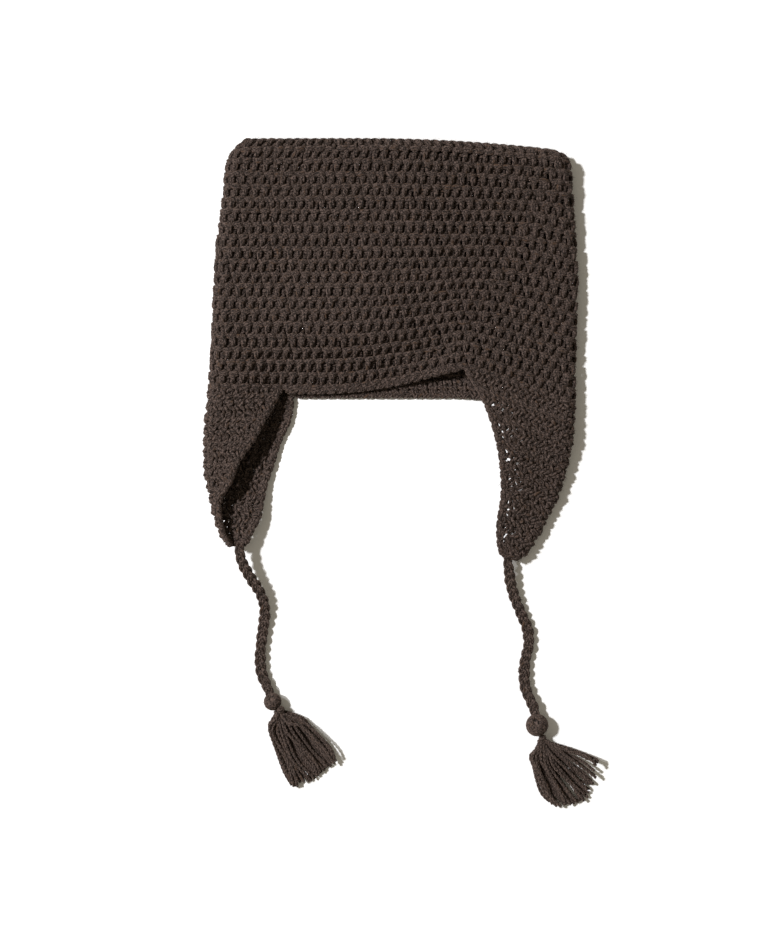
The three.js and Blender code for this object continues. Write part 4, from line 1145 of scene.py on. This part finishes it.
def yarn_material(name, dark, light, warm, ply_pitch=4.2, plies=3):
    material = bpy.data.materials.new(name)
    material.use_nodes = True
    nodes, links = material.node_tree.nodes, material.node_tree.links
    shader = nodes["Principled BSDF"]
    shader.inputs["Roughness"].default_value = 0.9
    shader.inputs["Specular IOR Level"].default_value = 0.2
    shader.inputs["Sheen Weight"].default_value = 0.35
    shader.inputs["Sheen Roughness"].default_value = 0.45
    shader.inputs["Sheen Tint"].default_value = linear((0.62, 0.52, 0.46))

    place = nodes.new("ShaderNodeUVMap")
    place.uv_map = "yarn"

    def stretched_noise(along, round_it, detail, label):
        scale = nodes.new("ShaderNodeVectorMath")
        scale.operation = "MULTIPLY"
        scale.inputs[1].default_value = (along, round_it, 1)
        links.new(place.outputs["UV"], scale.inputs[0])
        noise = nodes.new("ShaderNodeTexNoise")
        noise.label = label
        noise.inputs["Scale"].default_value = 1
        noise.inputs["Detail"].default_value = detail
        links.new(scale.outputs[0], noise.inputs["Vector"])
        return noise.outputs["Fac"]

    def ramp(source, low, high, from_colour, to_colour):
        made = nodes.new("ShaderNodeValToRGB")
        made.color_ramp.elements[0].position = low
        made.color_ramp.elements[1].position = high
        made.color_ramp.elements[0].color = from_colour
        made.color_ramp.elements[1].color = to_colour
        links.new(source, made.inputs["Fac"])
        return made.outputs["Color"]

    fibres = ramp(stretched_noise(0.9, 7, 3, "fibres"), 0.43, 0.6, linear(dark), linear(light))
    rare = ramp(stretched_noise(0.16, 3, 2, "rare fibres"), 0.6, 0.72, (0, 0, 0, 1), (1, 1, 1, 1))
    mix = nodes.new("ShaderNodeMix")
    mix.data_type = "RGBA"
    links.new(rare, mix.inputs["Factor"])
    links.new(fibres, mix.inputs["A"])
    mix.inputs["B"].default_value = linear(warm)
    links.new(mix.outputs["Result"], shader.inputs["Base Color"])

    split = nodes.new("ShaderNodeSeparateXYZ")
    links.new(place.outputs["UV"], split.inputs[0])
    along = nodes.new("ShaderNodeMath")
    along.operation = "MULTIPLY"
    along.inputs[1].default_value = 2 * math.pi / ply_pitch
    links.new(split.outputs["X"], along.inputs[0])
    phase = nodes.new("ShaderNodeMath")
    phase.operation = "MULTIPLY_ADD"
    phase.inputs[1].default_value = 2 * math.pi * plies
    links.new(split.outputs["Y"], phase.inputs[0])
    links.new(along.outputs[0], phase.inputs[2])
    wave = nodes.new("ShaderNodeMath")
    wave.operation = "SINE"
    links.new(phase.outputs[0], wave.inputs[0])
    height = nodes.new("ShaderNodeMath")
    height.operation = "MULTIPLY_ADD"
    height.inputs[1].default_value = 1.6
    links.new(stretched_noise(1.6, 14, 2, "fuzz"), height.inputs[0])
    links.new(wave.outputs[0], height.inputs[2])
    bump = nodes.new("ShaderNodeBump")
    bump.inputs["Strength"].default_value = 0.7
    bump.inputs["Distance"].default_value = 0.22 * MM
    links.new(height.outputs[0], bump.inputs["Height"])
    links.new(bump.outputs["Normal"], shader.inputs["Normal"])
    return material


hat_yarn = yarn_material("hat_yarn", (0.083, 0.067, 0.061), (0.342, 0.289, 0.268), (0.27, 0.2, 0.15))
tie_yarn = yarn_material("tie_yarn", (0.085, 0.069, 0.062), (0.35, 0.296, 0.274), (0.27, 0.2, 0.15),
                         ply_pitch=3.4, plies=2)
print("yarns:", hat_yarn.name, tie_yarn.name)

# %% [markdown]
# ## Dressing the pieces
# Each piece gets its yarn, and the solid that it stands in for is hidden. Nothing on the hat has a joint,
# so every piece rides on the one body.

# %% Dress the pieces
DRESSED = [
    ([*crown_pieces, top_chain], hat_yarn, "hat_yarn", ["crown"]),
    ([flap_yarn_left], hat_yarn, "hat_yarn", ["ear_flap_left"]),
    ([flap_yarn_right], hat_yarn, "hat_yarn", ["ear_flap_right"]),
    ([edging], hat_yarn, "edging_yarn", ["edging"]),
    ([tie_left], tie_yarn, "tie_yarn", ["tie_cord_left"]),
    ([tie_right], tie_yarn, "tie_yarn", ["tie_cord_right"]),
    ([ball_left], tie_yarn, "tie_yarn", ["ball_left"]),
    ([ball_right], tie_yarn, "tie_yarn", ["ball_right"]),
    ([tassel_left], tie_yarn, "tassel_yarn", ["tassel_left"]),
    ([tassel_right], tie_yarn, "tassel_yarn", ["tassel_right"]),
]
for pieces, material, slot, nodes_replaced in DRESSED:
    for piece in pieces:
        piece.data.materials.append(material)
        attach(piece, "root")
        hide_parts(*nodes_replaced)
print("dressed", sum(len(pieces) for pieces, *_ in DRESSED), "pieces")

# %% [markdown]
# ## The floor
# The hat lies on plain white paper, without a horizon. One large matt square does that. It lies three
# tenths of a millimetre under the hat, so that no yarn cuts into it.

# %% Floor
floor_mesh = bpy.data.meshes.new("floor")
FLOOR_HALF = 3.0
FLOOR_GAP = 0.0003
floor_mesh.from_pydata(
    [(-FLOOR_HALF, -FLOOR_HALF, 0), (FLOOR_HALF, -FLOOR_HALF, 0),
     (FLOOR_HALF, FLOOR_HALF, 0), (-FLOOR_HALF, FLOOR_HALF, 0)], [], [(0, 1, 2, 3)])
floor = bpy.data.objects.new("floor", floor_mesh)
bpy.context.scene.collection.objects.link(floor)
floor.location.z = -FLOOR_GAP
paper = bpy.data.materials.new("white_paper")
paper.use_nodes = True
paper.node_tree.nodes["Principled BSDF"].inputs["Base Color"].default_value = (0.93, 0.93, 0.95, 1)
paper.node_tree.nodes["Principled BSDF"].inputs["Roughness"].default_value = 0.9
floor_mesh.materials.append(paper)
print("floor:", 2 * FLOOR_HALF, "m wide")

# %% [markdown]
# ## Light
# One main light comes from the upper left, 52 degrees high, and throws short shadows to the right,
# about four fifths as long as the hat is high. A small lamp in the same line is nearer to the left flap,
# which is a little lighter in the photograph than the right one. A weak, slightly warm surrounding
# keeps the shadows open.

# %% Light
SUN_ELEVATION = math.radians(52)
SHADOW_TURN = math.radians(-20)
sun_data = bpy.data.lights.new("sun", "SUN")
sun_data.energy = 3.65
sun_data.angle = math.radians(4.5)
sun = bpy.data.objects.new("sun", sun_data)
bpy.context.scene.collection.objects.link(sun)
sun.rotation_euler = (0, -(math.pi / 2 - SUN_ELEVATION), SHADOW_TURN)

lamp_data = bpy.data.lights.new("near_lamp", "AREA")
lamp_data.energy = 1.2
lamp_data.size = 0.04
lamp = bpy.data.objects.new("near_lamp", lamp_data)
bpy.context.scene.collection.objects.link(lamp)
lamp.location = (-0.45, 0.02, 0.45)
lamp.rotation_euler = sun.rotation_euler

world = bpy.data.worlds.new("studio")
world.use_nodes = True
world.node_tree.nodes["Background"].inputs["Color"].default_value = (1.0, 0.91, 0.72, 1)
world.node_tree.nodes["Background"].inputs["Strength"].default_value = 0.29
bpy.context.scene.world = world
bpy.context.scene.view_settings.view_transform = "Standard"
print("main light", sun_data.energy, "near lamp", lamp_data.energy)
